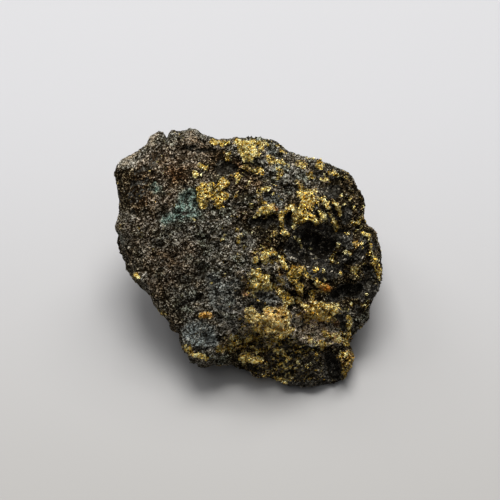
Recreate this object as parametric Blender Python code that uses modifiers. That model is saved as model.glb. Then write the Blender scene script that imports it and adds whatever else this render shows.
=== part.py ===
"""Chalcopyrite specimen: a palm-sized broken lump of ore, modelled as the one stone that it is.

The stone lies on a flat break. Its broad face looks up and towards -Y, and has a frame of its own:
u runs across it, v runs up it and w points straight out of it. Lengths are in millimetres until the
last step, which turns them into Blender's metres. +Z is up and the origin is under the middle.
"""

import math

import bmesh
import bpy
from mathutils import Matrix, Vector, noise

NAME = "chalcopyrite_specimen"
MM = 0.001

# Driving dimensions
FACE_LOOKS_UP = math.radians(58.0)  # how far above the horizon the broad face looks
MIDDLE_HEIGHT = 24.0  # of the broad face's middle above the table
DOME = 8.0  # how far the broad face bulges out of its rim
ROOT_DEPTH = 46.0  # how far the uncut stone reaches behind its rim
FRONT_SQUARENESS = 2.7  # 2 is a round dome and more is a flatter face with a tighter edge
BACK_SQUARENESS = 3.2
UNDERSIDE = -3.0  # height of the rough underside, before the flat break is cut at 0
CALM_FOOT = 5.0  # the roughness grows to its full height over this much above the underside
SHAPING_MM = 0.5  # spacing of the points that the relief moves
TRIANGLES = 9550  # before the underside is cut flat

# The rim round the broad face, as (u, v), anticlockwise from its right-hand end.
RIM = (
    (33.8, -0.5), (32.8, 4.0), (31.6, 7.4), (30.4, 8.3), (29.7, 8.1), (29.2, 10.3), (29.6, 11.8),
    (29.2, 14.5), (28.6, 16.7), (27.8, 17.2), (27.0, 19.3), (26.0, 20.8), (24.2, 21.8), (21.8, 22.8),
    (18.0, 24.6), (15.5, 25.0), (13.0, 25.6), (10.8, 26.7), (8.0, 28.4), (6.0, 29.3), (1.2, 30.0),
    (-2.0, 29.6), (-4.5, 29.9), (-5.6, 30.3), (-7.5, 29.5), (-10.8, 30.5), (-13.3, 32.5), (-14.6, 32.7),
    (-17.0, 32.0), (-19.4, 31.8), (-20.2, 30.6), (-21.0, 31.5), (-24.4, 30.6), (-24.9, 29.0),
    (-26.0, 27.5), (-27.5, 26.6), (-30.8, 25.1), (-32.3, 24.5), (-33.5, 23.4), (-33.9, 21.6),
    (-33.2, 18.5), (-32.2, 13.8), (-32.1, 11.0), (-33.1, 8.3), (-32.9, 7.0), (-31.9, 5.4), (-31.0, 1.8),
    (-30.2, -0.6), (-29.3, -5.3), (-27.0, -7.4), (-25.5, -8.6), (-24.7, -10.4), (-22.0, -13.2),
    (-19.6, -15.7), (-19.2, -16.8), (-17.3, -18.3), (-17.0, -20.4), (-13.8, -25.3), (-10.0, -26.4),
    (-4.0, -26.6), (-0.5, -28.0), (2.0, -30.1), (4.8, -30.1), (8.8, -31.0), (12.5, -32.1),
    (16.8, -32.3), (22.0, -31.6), (25.4, -30.4), (27.1, -27.0), (27.1, -24.7), (25.6, -21.6),
    (25.4, -20.4), (28.0, -18.0), (30.0, -15.6), (30.6, -11.5), (32.8, -9.0), (33.4, -5.5),
)

# How far the rim itself lies in front of w = 0, at angles round it in degrees from its right-hand end.
RIM_LEVELS = (
    (0, -6.0), (40, -5.5), (75, -4.5), (110, -3.5), (145, -3.0), (180, -3.0), (215, -2.5),
    (237, -2.5), (252, -4.0), (265, -7.0), (290, -8.5), (312, -8.5), (327, -7.5), (342, -6.0),
    (360, -6.0),
)

# The breaks behind the rim: where each passes, and the way it faces, as x, y, z from the table's
# plane and the middle of the face.
BREAKS = {
    "left undercut": ((-31.0, 7.0, 21.0), (-0.72, 0.05, -0.70)),
    "lower left undercut": ((-19.5, -13.0, 11.5), (-0.58, -0.16, -0.80)),
    "nose undercut": ((-8.0, -21.5, 6.0), (-0.30, -0.62, -0.72)),
    "right flank": ((32.6, 2.0, 13.0), (0.93, 0.02, -0.36)),
    "lower right flank": ((31.8, -13.0, 7.0), (0.80, -0.38, -0.46)),
    "upper right shoulder": ((24.5, 25.0, 25.0), (0.62, 0.78, 0.06)),
    "back wall": ((2.0, 31.0, 28.0), (0.10, 0.99, 0.10)),
    "back left wall": ((-24.0, 27.5, 26.0), (-0.50, 0.85, -0.16)),
    "back foot": ((0.0, 31.0, 13.0), (-0.12, 0.82, -0.56)),
    "left heel": ((-20.0, 22.0, 12.0), (-0.76, 0.34, -0.56)),
    "right heel": ((27.0, 20.0, 9.0), (0.70, 0.50, -0.50)),
    "underside": ((0.0, 0.0, UNDERSIDE), (0.0, 0.0, -1.0)),
}

# Relief on the broad face: u, v, half length, half width, turn in degrees, height and how much of
# the radius its edge takes. A pit has a height below zero.
RELIEF = {
    "crown": (-15.0, 30.0, 5.2, 3.0, 5, 1.8, 0.6),
    "tan corner": (-23.2, 29.0, 2.3, 2.5, 0, 0.8, 0.6),
    "crown crevice": (-9.6, 26.7, 3.2, 0.9, -8, -1.3, 0.6),
    "top ore": (-0.2, 27.0, 4.8, 3.0, 0, 1.1, 0.5),
    "upper hollow": (-6.0, 22.2, 3.4, 2.6, 10, -1.4, 0.7),
    "left ore": (-8.2, 16.2, 4.6, 4.6, 30, 1.0, 0.4),
    "left ridge": (-20.0, 14.0, 7.0, 1.6, 42, 0.9, 0.9),
    "pale ridge": (10.5, 21.0, 9.0, 3.6, -14, 1.8, 0.7),
    "right ore": (17.2, 12.0, 7.4, 5.2, -32, 2.3, 0.35),
    "bright ore": (4.3, 11.7, 3.2, 1.7, 14, 1.1, 0.5),
    "pocket rim": (8.6, 9.2, 2.2, 3.6, 12, 1.0, 0.5),
    "pocket": (9.9, 9.3, 1.3, 2.1, 8, -2.6, 0.6),
    "under pocket": (2.4, 9.0, 2.8, 1.4, 0, -1.0, 0.7),
    "black hollow": (16.0, 2.6, 8.6, 5.0, -4, -4.0, 0.55),
    "upper right dark": (21.8, 17.8, 3.2, 2.6, 0, -1.8, 0.6),
    "rib": (32.4, 0.0, 8.6, 1.7, 94, 1.6, 0.6),
    "rib groove": (30.5, -1.0, 8.0, 1.0, 93, -2.2, 0.6),
    "right dark": (25.5, -8.2, 5.2, 2.7, 8, -2.6, 0.6),
    "middle ledge": (10.5, -4.8, 5.2, 3.0, -38, 1.7, 0.3),
    "centre ore": (3.4, -5.6, 2.8, 3.2, 0, 0.8, 0.5),
    "left scoop": (-11.0, -2.6, 1.9, 3.8, 0, -1.2, 0.8),
    "left crack": (-15.0, -11.0, 2.8, 0.8, 22, -0.8, 0.7),
    "big ore": (6.8, -15.6, 4.0, 4.4, 0, 1.6, 0.3),
    "big ore side": (1.2, -14.2, 2.7, 2.7, 0, 1.0, 0.5),
    "plate ore": (18.6, -13.2, 6.2, 2.7, -30, 2.0, 0.25),
    "low dark": (13.2, -22.4, 3.4, 2.0, 0, -0.9, 0.7),
    "dark under plate": (13.0, -19.0, 5.5, 1.2, -34, -0.6, 0.7),
    "knob": (25.0, -26.4, 5.4, 2.6, 96, 2.6, 0.45),
    "knob hollow": (21.6, -27.2, 4.2, 2.2, 96, -2.6, 0.6),
    "bottom ledge": (0.2, -25.2, 4.2, 1.5, -4, 1.4, 0.4),
    "bottom gap": (2.4, -27.6, 2.6, 1.2, -20, -1.8, 0.6),
    "lower left nose": (-12.0, -24.0, 4.0, 2.0, -12, 1.0, 0.5),
    "blue hollow": (-13.0, -18.8, 5.0, 3.0, 0, -0.8, 0.9),
}

# Roughness over the whole stone: wavelength and height of each sort of unevenness.
SWELLS = (16.0, 1.1)
CRAGS = (3.2, 0.4)
# Small breaks, which meet in ledges: how wide they are, how much they tilt and how far they step.
FLAKES = ((8.0, 0.16, 0.5), (3.8, 0.2, 0.28))
BACK_FLAKES = (15.0, 0.2, 1.0)
SMOOTH_SIDE = (-26.0, 4.0, 0.4)  # u where the face is evenest, u where it is roughest, and the least share
RIM_KEEP = 0.3  # share of the roughness left across the view of the broad face, near its rim

STONE_COLOUR = (0.075, 0.068, 0.058, 1.0)

U = Vector((1.0, 0.0, 0.0))
V = Vector((0.0, math.sin(FACE_LOOKS_UP), math.cos(FACE_LOOKS_UP)))
W = Vector((0.0, -math.cos(FACE_LOOKS_UP), math.sin(FACE_LOOKS_UP)))
MIDDLE = Vector((0.0, 0.0, MIDDLE_HEIGHT))

# Far-apart places in one noise, which so gives three unlike ones.
DRIFT_OFFSETS = (Vector((5.2, 1.3, 9.7)), Vector((61.4, 23.8, 40.1)), Vector((17.9, 88.6, 34.5)))


def smooth(t):
    """0 below 0, 1 above 1, and an even rise between."""
    t = min(max(t, 0.0), 1.0)
    return t * t * (3.0 - 2.0 * t)


def between(table, x):
    """The value at x of a table of (x, value) rows, along straight lines."""
    for (x0, value0), (x1, value1) in zip(table, table[1:]):
        if x0 <= x <= x1:
            return value0 + (value1 - value0) * (x - x0) / (x1 - x0)
    return table[-1][1]


def rim_reach_table():
    """(angle, reach) of the rim's corners, from 0 to 360 degrees."""
    rows = sorted((math.degrees(math.atan2(v, u)) % 360.0, math.hypot(u, v)) for u, v in RIM)
    before = (rows[-1][0] - 360.0, rows[-1][1])
    after = (rows[0][0] + 360.0, rows[0][1])
    return [before, *rows, after]


def uncut_stone():
    """A ball drawn out to the rim all round, domed in front of it and deep behind it."""
    reaches = rim_reach_table()
    bm = bmesh.new()
    bmesh.ops.create_icosphere(bm, subdivisions=7, radius=1.0)
    for vert in bm.verts:
        across, out = math.hypot(vert.co.x, vert.co.y), vert.co.z
        angle = math.degrees(math.atan2(vert.co.y, vert.co.x)) % 360.0
        squareness = FRONT_SQUARENESS if out >= 0.0 else BACK_SQUARENESS
        size = (across**squareness + abs(out) ** squareness) ** (-1.0 / squareness)
        reach = between(reaches, angle) * across * size
        depth = out * size * (DOME if out >= 0.0 else ROOT_DEPTH)
        level = between(RIM_LEVELS, angle) * smooth(across * size)
        u, v = reach * math.cos(math.radians(angle)), reach * math.sin(math.radians(angle))
        vert.co = MIDDLE + U * u + V * v + W * (depth + level)
    return bm


def cut(bm, point, facing):
    """Breaks away what lies beyond a plane, and closes the break."""
    geometry = [*bm.verts, *bm.edges, *bm.faces]
    made = bmesh.ops.bisect_plane(
        bm, geom=geometry, plane_co=point, plane_no=facing, clear_outer=True, clear_inner=False
    )
    edges = [e for e in made["geom_cut"] if isinstance(e, bmesh.types.BMEdge) and e.is_boundary]
    bmesh.ops.holes_fill(bm, edges=edges, sides=0)


def evaluated(bm, name, settings):
    """A new bmesh: bm after the modifiers in settings, each a type and its values."""
    mesh = bpy.data.meshes.new(name)
    bm.to_mesh(mesh)
    bm.free()
    helper = bpy.data.objects.new(name, mesh)
    bpy.context.scene.collection.objects.link(helper)
    for kind, values in settings:
        modifier = helper.modifiers.new(kind, kind)
        for key, value in values.items():
            setattr(modifier, key, value)
    bpy.context.view_layer.update()
    result = bpy.data.meshes.new_from_object(
        helper.evaluated_get(bpy.context.evaluated_depsgraph_get())
    )
    bpy.data.objects.remove(helper)
    made = bmesh.new()
    made.from_mesh(result)
    return made


def relief_height(u, v):
    """How far the named lumps and pits lift or sink the broad face at u, v."""
    height = 0.0
    ragged = 0.35 * noise.noise(Vector((u, v, 7.0)) / 2.6)
    for centre_u, centre_v, half_length, half_width, turn, rise, edge in RELIEF.values():
        du, dv = u - centre_u, v - centre_v
        if abs(du) > 12.0 or abs(dv) > 12.0:
            continue
        c, s = math.cos(math.radians(turn)), math.sin(math.radians(turn))
        along, aside = (du * c + dv * s) / half_length, (dv * c - du * s) / half_width
        inside = 1.0 - math.hypot(along, aside) + ragged
        height += rise * smooth(inside / edge)
    return height


def drift(point):
    """Three unlike noises at a point, as a vector."""
    return Vector([noise.noise(point + offset) for offset in DRIFT_OFFSETS])


def flake(point, size, tilt, step):
    """The height of the small break that a point lies on: a tilted flat, set up or down a little."""
    nearest = noise.voronoi(point / size)[1][0] * size
    lean = drift(nearest * 1.7)
    return tilt * 2.0 * lean.dot(point - nearest) + step * 2.0 * noise.noise(nearest * 2.3)


def roughness(point, behind):
    """Unevenness at a point, as a height: long swells, flat flakes with ledges, and sharp crags.

    behind is 0 on the broad face and at its rim, and 1 on the back, where the breaks are larger.
    """
    swell = noise.fractal(point / SWELLS[0], 1.0, 2.0, 2) * SWELLS[1]
    crag = (noise.ridged_multi_fractal(point / CRAGS[0], 1.0, 2.0, 2, 1.0, 2.0) - 1.1) * CRAGS[1]
    bent = point + drift(point / 5.0) * 1.2
    flakes = sum(flake(bent, *sort) for sort in FLAKES) + flake(bent, *BACK_FLAKES) * behind
    return swell + crag + flakes


def weather(bm):
    """Gives the smooth blank its relief and its roughness."""
    bm.normal_update()
    evenest, roughest, least = SMOOTH_SIDE
    moved = {}
    for vert in bm.verts:
        point, normal = vert.co, vert.normal
        offset = point - MIDDLE
        u, v = offset.dot(U), offset.dot(V)
        facing = normal.dot(W)
        front, behind = smooth((facing - 0.05) / 0.45), smooth((-0.15 - facing) / 0.45)
        share = least + (1.0 - least) * smooth((u - evenest) / (roughest - evenest))
        share = 1.0 + (share - 1.0) * front
        share *= smooth((point.z - UNDERSIDE) / CALM_FOOT)
        lift = normal * roughness(point, behind) * share
        sideways = lift - W * lift.dot(W)
        keep = RIM_KEEP + (1.0 - RIM_KEEP) * smooth(abs(facing) * 2.0 - 0.2)
        moved[vert] = point + W * (relief_height(u, v) * front) + lift - sideways * (1.0 - keep)
    for vert, place in moved.items():
        vert.co = place


def drop_crumbs(bm):
    """Deletes every loose bit but the largest."""
    left, bits = set(bm.verts), []
    while left:
        bit, edge_of_bit = set(), [left.pop()]
        while edge_of_bit:
            vert = edge_of_bit.pop()
            bit.add(vert)
            near = {e.other_vert(vert) for e in vert.link_edges} & left
            left -= near
            edge_of_bit += near
        bits.append(bit)
    bits.sort(key=len)
    for bit in bits[:-1]:
        bmesh.ops.delete(bm, geom=list(bit), context="VERTS")


def stone():
    """The finished stone, standing on its cut underside."""
    remesh = ("REMESH", {"mode": "VOXEL", "voxel_size": SHAPING_MM})
    bm = uncut_stone()
    for point, facing in BREAKS.values():
        cut(bm, Vector(point), Vector(facing).normalized())
    bm = evaluated(bm, "blank", [remesh])
    weather(bm)
    bm = evaluated(bm, "rough", [remesh])
    bmesh.ops.triangulate(bm, faces=bm.faces[:])
    bm = evaluated(bm, "shaped", [("DECIMATE", {"ratio": TRIANGLES / len(bm.faces)})])
    cut(bm, Vector((0.0, 0.0, 0.0)), Vector((0.0, 0.0, -1.0)))
    drop_crumbs(bm)
    return bm


def centred_on_base(bm):
    """Moves the stone so that the origin is under the middle of its box, and turns it into metres."""
    xs = [v.co.x for v in bm.verts]
    ys = [v.co.y for v in bm.verts]
    middle = Vector(((min(xs) + max(xs)) / 2, (min(ys) + max(ys)) / 2, 0.0))
    bmesh.ops.transform(bm, matrix=Matrix.Scale(MM, 4) @ Matrix.Translation(-middle), verts=bm.verts)


def stone_material():
    """Dark, dull rock with a slight glint of ore."""
    material = bpy.data.materials.new("ore_rock")
    material.use_nodes = True
    shader = material.node_tree.nodes["Principled BSDF"]
    shader.inputs["Base Color"].default_value = STONE_COLOUR
    shader.inputs["Roughness"].default_value = 0.75
    shader.inputs["Metallic"].default_value = 0.2
    return material


def main():
    for obj in list(bpy.data.objects):
        bpy.data.objects.remove(obj)
    collection = bpy.data.collections.new(NAME)
    bpy.context.scene.collection.children.link(collection)
    bm = stone()
    centred_on_base(bm)
    mesh = bpy.data.meshes.new(NAME)
    bm.to_mesh(mesh)
    bm.free()
    mesh.materials.append(stone_material())
    collection.objects.link(bpy.data.objects.new(NAME, mesh))


if __name__ == "__main__":
    main()
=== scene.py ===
"""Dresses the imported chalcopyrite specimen: a fine rock skin with its minerals, loose grains and a stage.

Lengths in the tables are millimetres and the meshes are in Blender's metres. The broad face has a
frame of its own: u runs across it, v runs up it and w points straight out of it. Places on the face
are given as they appear from the viewing point, which looks straight down w.
"""

import math

import bmesh
import bpy
import numpy as np
from bpy.props import FloatProperty, FloatVectorProperty, IntProperty, PointerProperty
from mathutils import Euler, Matrix, Vector, noise


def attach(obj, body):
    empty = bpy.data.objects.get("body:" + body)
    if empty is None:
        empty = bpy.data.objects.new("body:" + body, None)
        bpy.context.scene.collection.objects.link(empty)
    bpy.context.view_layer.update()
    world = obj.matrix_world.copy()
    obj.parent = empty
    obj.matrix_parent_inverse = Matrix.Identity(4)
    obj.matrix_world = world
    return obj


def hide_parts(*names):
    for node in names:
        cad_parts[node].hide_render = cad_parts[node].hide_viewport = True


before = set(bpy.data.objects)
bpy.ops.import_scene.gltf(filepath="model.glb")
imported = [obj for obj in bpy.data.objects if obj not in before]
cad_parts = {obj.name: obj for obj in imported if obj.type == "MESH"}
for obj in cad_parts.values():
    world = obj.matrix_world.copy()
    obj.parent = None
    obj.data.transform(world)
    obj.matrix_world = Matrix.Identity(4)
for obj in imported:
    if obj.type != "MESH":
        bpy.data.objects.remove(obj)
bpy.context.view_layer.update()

bl_info = {
    "name": "Chalcopyrite Specimen",
    "version": (1, 0, 0),
    "blender": (4, 5, 0),
    "location": "View3D > Sidebar > Specimen",
    "description": "Builds the visible surface of a lump of chalcopyrite ore and a plain stage for it",
    "category": "Object",
}

NODE = "chalcopyrite_specimen"
BODY = "root"
MM = 0.001

# The broad face and the point it is looked at from
FACE_LOOKS_UP = math.radians(58.0)
FACE_MIDDLE = Vector((-0.2, -4.35, 24.0))
VIEW_CENTRE = (0.5, 2.0)  # u and v in the middle of the view
VIEW_DISTANCE = 600.0
VIEW_WIDTH = 125.0  # at that distance
GRAIN_TURN = math.radians(32.0)  # of the rock's grain, from u towards v
U = Vector((1.0, 0.0, 0.0))
V = Vector((0.0, math.sin(FACE_LOOKS_UP), math.cos(FACE_LOOKS_UP)))
W = Vector((0.0, -math.cos(FACE_LOOKS_UP), math.sin(FACE_LOOKS_UP)))
GRAIN = U * math.cos(GRAIN_TURN) + V * math.sin(GRAIN_TURN)

# Outline of one grain that is both ore and rust
ORANGE_GRAIN = (
    -12.1, -13.7, -10.8, -13.3, -9.4, -13.9, -8.7, -14.6, -9.6, -15.3, -10.9, -15.5, -12.4, -14.8
)
# Patches on the broad face. Each row holds a strength, which is about the share of its grains that
# are of the kind, and an outline as u, v pairs. Ore rows also hold a polish, from 0 for brown and dull
# to 1 and more for bright and pale, and the height by which the ore stands up. The bright, pale end is
# partly painted highlight, and a polish above 1 paints light onto ore that lies in shade.
ORE = (
    # thin smears of ore
    (0.22, 0.3, 0, (10.6, -13.4, 15, -13.6, 20, -15.4, 23.4, -17.6, 23, -22.6, 17, -23.6, 11, -21.4)),
    (0.28, 0.35, 0, (-2, -21, 6, -19.6, 12, -20, 19, -24, 19, -30, 8, -31.5, -2, -28)),
    # top edge
    (0.98, 1, 0.4, (
        -3.6, 29.6, -2.3, 29.8, -1.2, 29.4, 0.2, 29.8, 2, 29.6, 3.2, 29.1, 3.9, 28.2, 3.9, 27.2, 3.2, 26.2,
        2.4, 25.4, 1.2, 24.7, 0.3, 24, -0.6, 24.1, -1.6, 24.3, -1.4, 25.4, -2.2, 26.2, -2.4, 27.4,
        -3.2, 28.2)),
    (0.62, 0.35, 0.1, (-9.4, 30, -7.6, 29.6, -4.6, 29.2, -4.4, 28.2, -6, 27.9, -8.4, 28.2, -9.6, 29)),
    (0.55, 0.45, 0.15, (-6.6, 26.4, -4, 26.4, -4.2, 25.4, -4.6, 24.2, -5.6, 24.2, -6, 25.2)),
    (0.85, 0.6, 0.25, (
        6.2, 24.1, 7.4, 24.6, 8.6, 24.5, 9.9, 23.9, 9.4, 23.3, 8.4, 23.6, 7.4, 23.4, 6.4, 23.5)),
    (0.9, 0.5, 0.35, (17, 24.3, 18, 24.5, 18.9, 23.8, 19.1, 23, 18.3, 22.4, 16.9, 22.3, 17, 23.2)),
    (0.55, 0.2, 0.1, (19.8, 21.8, 21.2, 22, 22.6, 21.3, 23.4, 20.4, 22.6, 19.9, 21.2, 20.6, 20, 20.9)),
    (0.55, 0.6, 0.1, (-1.8, 23.4, 0.6, 23.6, 1.2, 22.6, 0.4, 21.3, -0.6, 21.8, -1.4, 22.2)),
    # upper left cluster
    (0.95, 0.5, 0.35, (-7.6, 19, -6.4, 20.2, -5.2, 19.6, -4.8, 18.4, -5.4, 17.2, -6.6, 16.9, -8, 18)),
    (0.8, 0.45, 0.2, (-12.2, 18.9, -8.4, 18.9, -8, 17.6, -9, 16.6, -10.2, 16, -12.6, 16.5)),
    (1.06, 0.42, 0.35, (
        -12.8, 18.2, -11.4, 17.4, -10.2, 16.4, -10, 14, -10.6, 12.2, -11.8, 12.2, -12.5, 13.8, -12.9, 16)),
    (0.95, 0.55, 0.25, (-5.8, 16.4, -4.6, 16.3, -4.3, 15.2, -5.2, 14.8, -6.2, 15.4)),
    (1, 0.55, 0.25, (-8.2, 15, -6.6, 14.6, -6.3, 13.2, -7, 12.4, -8.1, 12.8, -8.4, 14)),
    (0.55, 0.25, 0.1, (-10.2, 16.6, -7.8, 18.2, -5, 17.2, -4.4, 14.6, -6.6, 14, -8.6, 14.6, -10.2, 14.4)),
    (0.6, 0.4, 0.1, (-12.2, 23.6, -9.8, 23.4, -9.6, 22.4, -12, 22.2)),
    (1, 0.8, 0.2, (-13.8, 21.6, -12.8, 21.8, -12.3, 20.8, -12.8, 20, -13.7, 20.3)),
    (1.1, 0.65, 0.4, (
        -3, 21.2, -2, 21.4, -1.5, 20.2, -1.8, 19.2, -2.6, 18.4, -3.4, 18.1, -3.1, 19.2, -3.1, 20.2)),
    # centre
    (1.1, 0.65, 0.35, (3.7, 17.2, 4.4, 18, 5.4, 17.9, 5.9, 17.2, 5.3, 16.6, 4.2, 16.5)),
    (1.15, 0.85, 0.45, (
        2.6, 12.2, 3.6, 12.9, 5.2, 12.9, 6.2, 12.6, 5.6, 11.7, 4.9, 11.2, 4.4, 10.4, 3.8, 10.9, 3.2, 11.3,
        2.9, 10.9, 2.2, 10.3, 1.4, 10.4, 1.8, 11.2, 2.6, 11.6)),
    (0.7, 0.2, 0.1, (6, 13, 7.4, 12.7, 6.8, 11.7, 5.9, 11.8)),
    (0.5, 0.45, 0.1, (-3.4, 7.4, -2.4, 7.8, -1.9, 6.8, -2.4, 6.2, -3.2, 6.6)),
    (0.5, 0.35, 0.1, (-3.2, 4.4, -2.2, 5, -1.6, 4, -2.2, 3.2, -3, 3.6)),
    # rim of the pocket and its right side
    (1.05, 0.62, 0.35, (
        7.6, 10.6, 8.6, 11.6, 9.8, 12.3, 10, 11.6, 9, 10.6, 8.7, 9.6, 8.8, 8.6, 8.6, 7.4, 9.4, 6.6, 10.4, 6,
        10.2, 5.3, 9, 5.8, 8.2, 6.6, 7.9, 7.8, 8.1, 9, 7.5, 9.8)),
    # Its polish above 1 paints light onto ore that lies in the pocket's shade
    (1.2, 1.25, 0.3, (11, 11.8, 12.2, 12.2, 12.4, 9.4, 11.4, 7, 10.9, 7.8, 11.2, 9.4, 11.3, 10.6)),
    # right mass and its slanting ridges
    (0.98, 0.2, 0.35, (
        12.9, 16, 13.8, 16.6, 14, 17.6, 15.6, 17.2, 16.4, 16.8, 15.8, 15.8, 16.6, 15.2, 17.4, 14.4, 18, 13.4,
        17.2, 12.6, 16.2, 11.8, 16.6, 10.6, 17.6, 9.2, 17.8, 8.2, 17, 8.2, 16.2, 9.3, 15.2, 9.6, 14.2, 8.9,
        13.2, 8.3, 12.2, 8.4, 11.2, 9.6, 10.9, 10.8, 11.4, 11.7, 12.4, 11.9, 13, 13, 13.2, 14.4)),
    (1.2, 1, 0.45, (17, 15.3, 19, 15.2, 20, 14, 20.8, 12.6, 20.2, 12.2, 19.2, 13.2, 18.2, 14.2)),
    (1.2, 0.85, 0.45, (17.6, 12, 18.4, 12, 19.3, 10.9, 19.6, 9.9, 19, 9.3, 18.3, 10, 17.7, 11)),
    (0.95, 0.62, 0.4, (
        19.2, 12, 20.2, 11.4, 21.3, 10.4, 22, 9.4, 22.8, 8, 22.6, 6.8, 21.4, 7.2, 21, 8.9, 20.2, 10.2,
        19.4, 11.2)),
    (1.15, 0.95, 0.45, (21, 13.8, 21.8, 14.1, 22.8, 13.2, 23.3, 12, 23.4, 10.6, 22.6, 10.3, 22.2, 12.2)),
    (0.6, 0.3, 0.15, (26, 10.2, 27.2, 9.2, 28.6, 9.8, 28.4, 8.6, 27.4, 8.2, 26.2, 8.9)),
    (0.65, 0.4, 0.15, (25.2, 6.9, 25.6, 6, 24.6, 5.6, 24.4, 6.4)),
    (0.75, 0.3, 0.2, (26.4, 4.6, 27.4, 4.6, 27.6, 3.2, 26.8, 2.4, 26.4, 3.4)),
    (0.8, 0.6, 0.25, (28.4, 6.4, 30.2, 6.2, 30.6, 5.2, 29.6, 5.2, 28.6, 5.8)),
    (0.52, 0.25, 0.2, (30.4, 5, 30.9, 2.6, 31.4, 0.4, 30.8, -0.8, 30.2, 0.4, 30, 2.6)),
    (0.44, 0.2, 0.2, (31.2, 0.6, 32.6, -0.2, 33.4, -2.6, 33.2, -5.6, 32.2, -5.2, 31.6, -2.6, 30.8, -1.2)),
    # below the centre
    (0.8, 0.65, 0.2, (3.2, 1.2, 3.6, 2, 5.2, 1.8, 6.6, 2.1, 7.6, 1.2, 7.2, 0.5, 5.6, 0.4, 4.6, 0.6)),
    (1.05, 0.65, 0.35, (1.2, 0, 2, 0.3, 2.3, -0.8, 1.8, -1.8, 1.1, -1.2)),
    (0.95, 0.55, 0.3, (3, 0.2, 4, 1.2, 5.5, 0.6, 5.2, -0.8, 4.4, -1.5, 3.3, -1)),
    (1.1, 0.85, 0.4, (9.2, -0.3, 8.5, -1.7, 9.3, -2.7, 10.1, -2.7, 9.8, -1.6)),
    (0.95, 0.2, 0.4, (
        10.7, -2, 12.2, -1.9, 13.6, -2.8, 13.5, -4, 12.8, -5.4, 11.8, -4.9, 10.4, -4.6, 9.5, -4,
        10.6, -3.2)),
    (0.75, 0.35, 0.25, (9.4, -4.4, 10.6, -5, 12, -5.6, 12.2, -6.9, 11.2, -6.6, 10, -5.8)),
    (0.7, 0.35, 0.25, (12.4, -5.6, 13.5, -6.6, 13.8, -8.6, 12.6, -9.2, 12, -7.6, 11.8, -6.4)),
    (1.08, 0.66, 0.25, (
        0.6, -2.6, 1.8, -2.8, 2.6, -3.6, 4.4, -4, 5.2, -4.6, 5.6, -6, 6.3, -7.4, 5.8, -8.1, 4.2, -7.6,
        2.8, -8.2, 1.4, -8, 0.4, -7.2, 0.6, -6, 1, -5, 0.8, -3.8)),
    (0.6, 0.35, 0.15, (
        6.4, -6, 8.4, -7.2, 9.8, -8.4, 11, -9.6, 11.9, -11.2, 10.4, -12, 8.8, -10.8, 7.4, -9.4, 6.4, -8)),
    # biggest ore
    (1.4, 0.95, 0.35, (
        -0.6, -12.6, 0.6, -12, 1.8, -12.8, 2.6, -13.8, 3.8, -14.8, 3.9, -16.2, 3, -17.2, 2.2, -16.2,
        1.4, -15.2, 0.6, -16.2, -1, -16, -0.6, -14.8, -0.9, -13.8)),
    (1.45, 0.9, 0.55, (
        4.1, -12.4, 5.2, -12, 6.6, -12.7, 7.6, -12.4, 9.4, -12.8, 10.4, -14.2, 10.5, -16, 10.4, -17.6,
        10.6, -19.3, 9.4, -19.5, 8.2, -18.4, 7, -18.8, 6, -18.4, 4.4, -18.5, 4.1, -17.2, 4.8, -16.6,
        4.1, -15.6, 3.9, -14.2)),
    (1.15, 0.8, 0.2, (2.2, -17, 3.5, -17.6, 3.3, -19, 2.5, -18.6, 0.6, -17.8, 0.8, -16.8)),
    (1.15, 0.75, 0.35, (-0.9, -21.4, -0.5, -20.4, 0.4, -19.8, 0.7, -20.3, 0, -20.9, -0.5, -21.5)),
    (1.1, 0.8, 0.25, (5.2, -20.3, 7.7, -20.1, 7.4, -20.9, 5.8, -20.9)),
    (0.34, 0.2, 0.05, (
        -2.4, -16.4, 3, -17, 6, -19, 9.6, -19.6, 8.6, -22.4, 4, -23.8, -3, -24, -8, -23.6, -8, -21.4,
        -5.6, -19.4, -3, -19)),
    # along the foot
    (1.2, 0.9, 0.25, (6.2, -22.8, 7.2, -22.8, 7, -23.5, 6.3, -23.5)),
    (1.25, 0.9, 0.35, (9.3, -24.6, 10.8, -24.6, 10.6, -25.4, 9.9, -25.8, 9.3, -25.4)),
    (0.92, 0.28, 0.35, (
        -2, -24.4, -0.6, -24.2, 0.8, -24.7, 2.2, -24.8, 3.8, -25.2, 3.7, -26.1, 0.4, -26.3, -1.6, -26.2,
        -2.3, -25.6)),
    (0.9, 0.32, 0.35, (6.2, -29.8, 8, -29.6, 9.4, -30.4, 10, -31.6, 9, -31.2, 7.6, -30.8, 6.3, -30.6)),
    (0.8, 0.45, 0.2, (-7.7, -21.8, -6.1, -22, -6, -23.4, -7.4, -23.7, -8, -22.8)),
    # lower left corner, and an orange grain above it
    (1.1, 0.5, 0.3, ORANGE_GRAIN),
    (0.85, 0.25, 0.25, (-15.7, -22.6, -14.4, -22.1, -13.3, -23.3, -13.7, -24.3, -15, -23.9)),
    (1.25, 0.92, 0.4, (
        -14.3, -23.6, -13, -24, -11.6, -24.1, -10.2, -24.5, -9.7, -25.2, -10.6, -25.4, -11.3, -25,
        -12.4, -25.1, -13.6, -24.9)),
    (0.55, 0.35, 0.1, (-28.5, -3.8, -27, -3.8, -26.5, -5, -27.6, -5.8, -28.2, -5)),
    (0.42, 0.3, 0.1, (-21.6, -13.1, -20.3, -13.3, -20.5, -14.8, -21.6, -14.5)),
    # slanting plate
    (1.4, 0.68, 0.6, (
        12.9, -10.9, 14.2, -11.5, 15.4, -12.3, 16, -11.2, 17, -10.8, 18.2, -11, 19.2, -11.1, 20.6, -12,
        22, -12.5, 22.7, -13.7, 21.5, -14.2, 20.7, -14.8, 20.5, -15.7, 19.4, -15.7, 18, -15.7, 16.6, -15.1,
        15.2, -14.3, 14, -12.9)),
    (0.9, 0.5, 0.3, (24, -14.1, 25.2, -14.3, 26.3, -15.6, 25.9, -16.8, 25.2, -18.3, 24.6, -18, 24.9, -15.6)),
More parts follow.
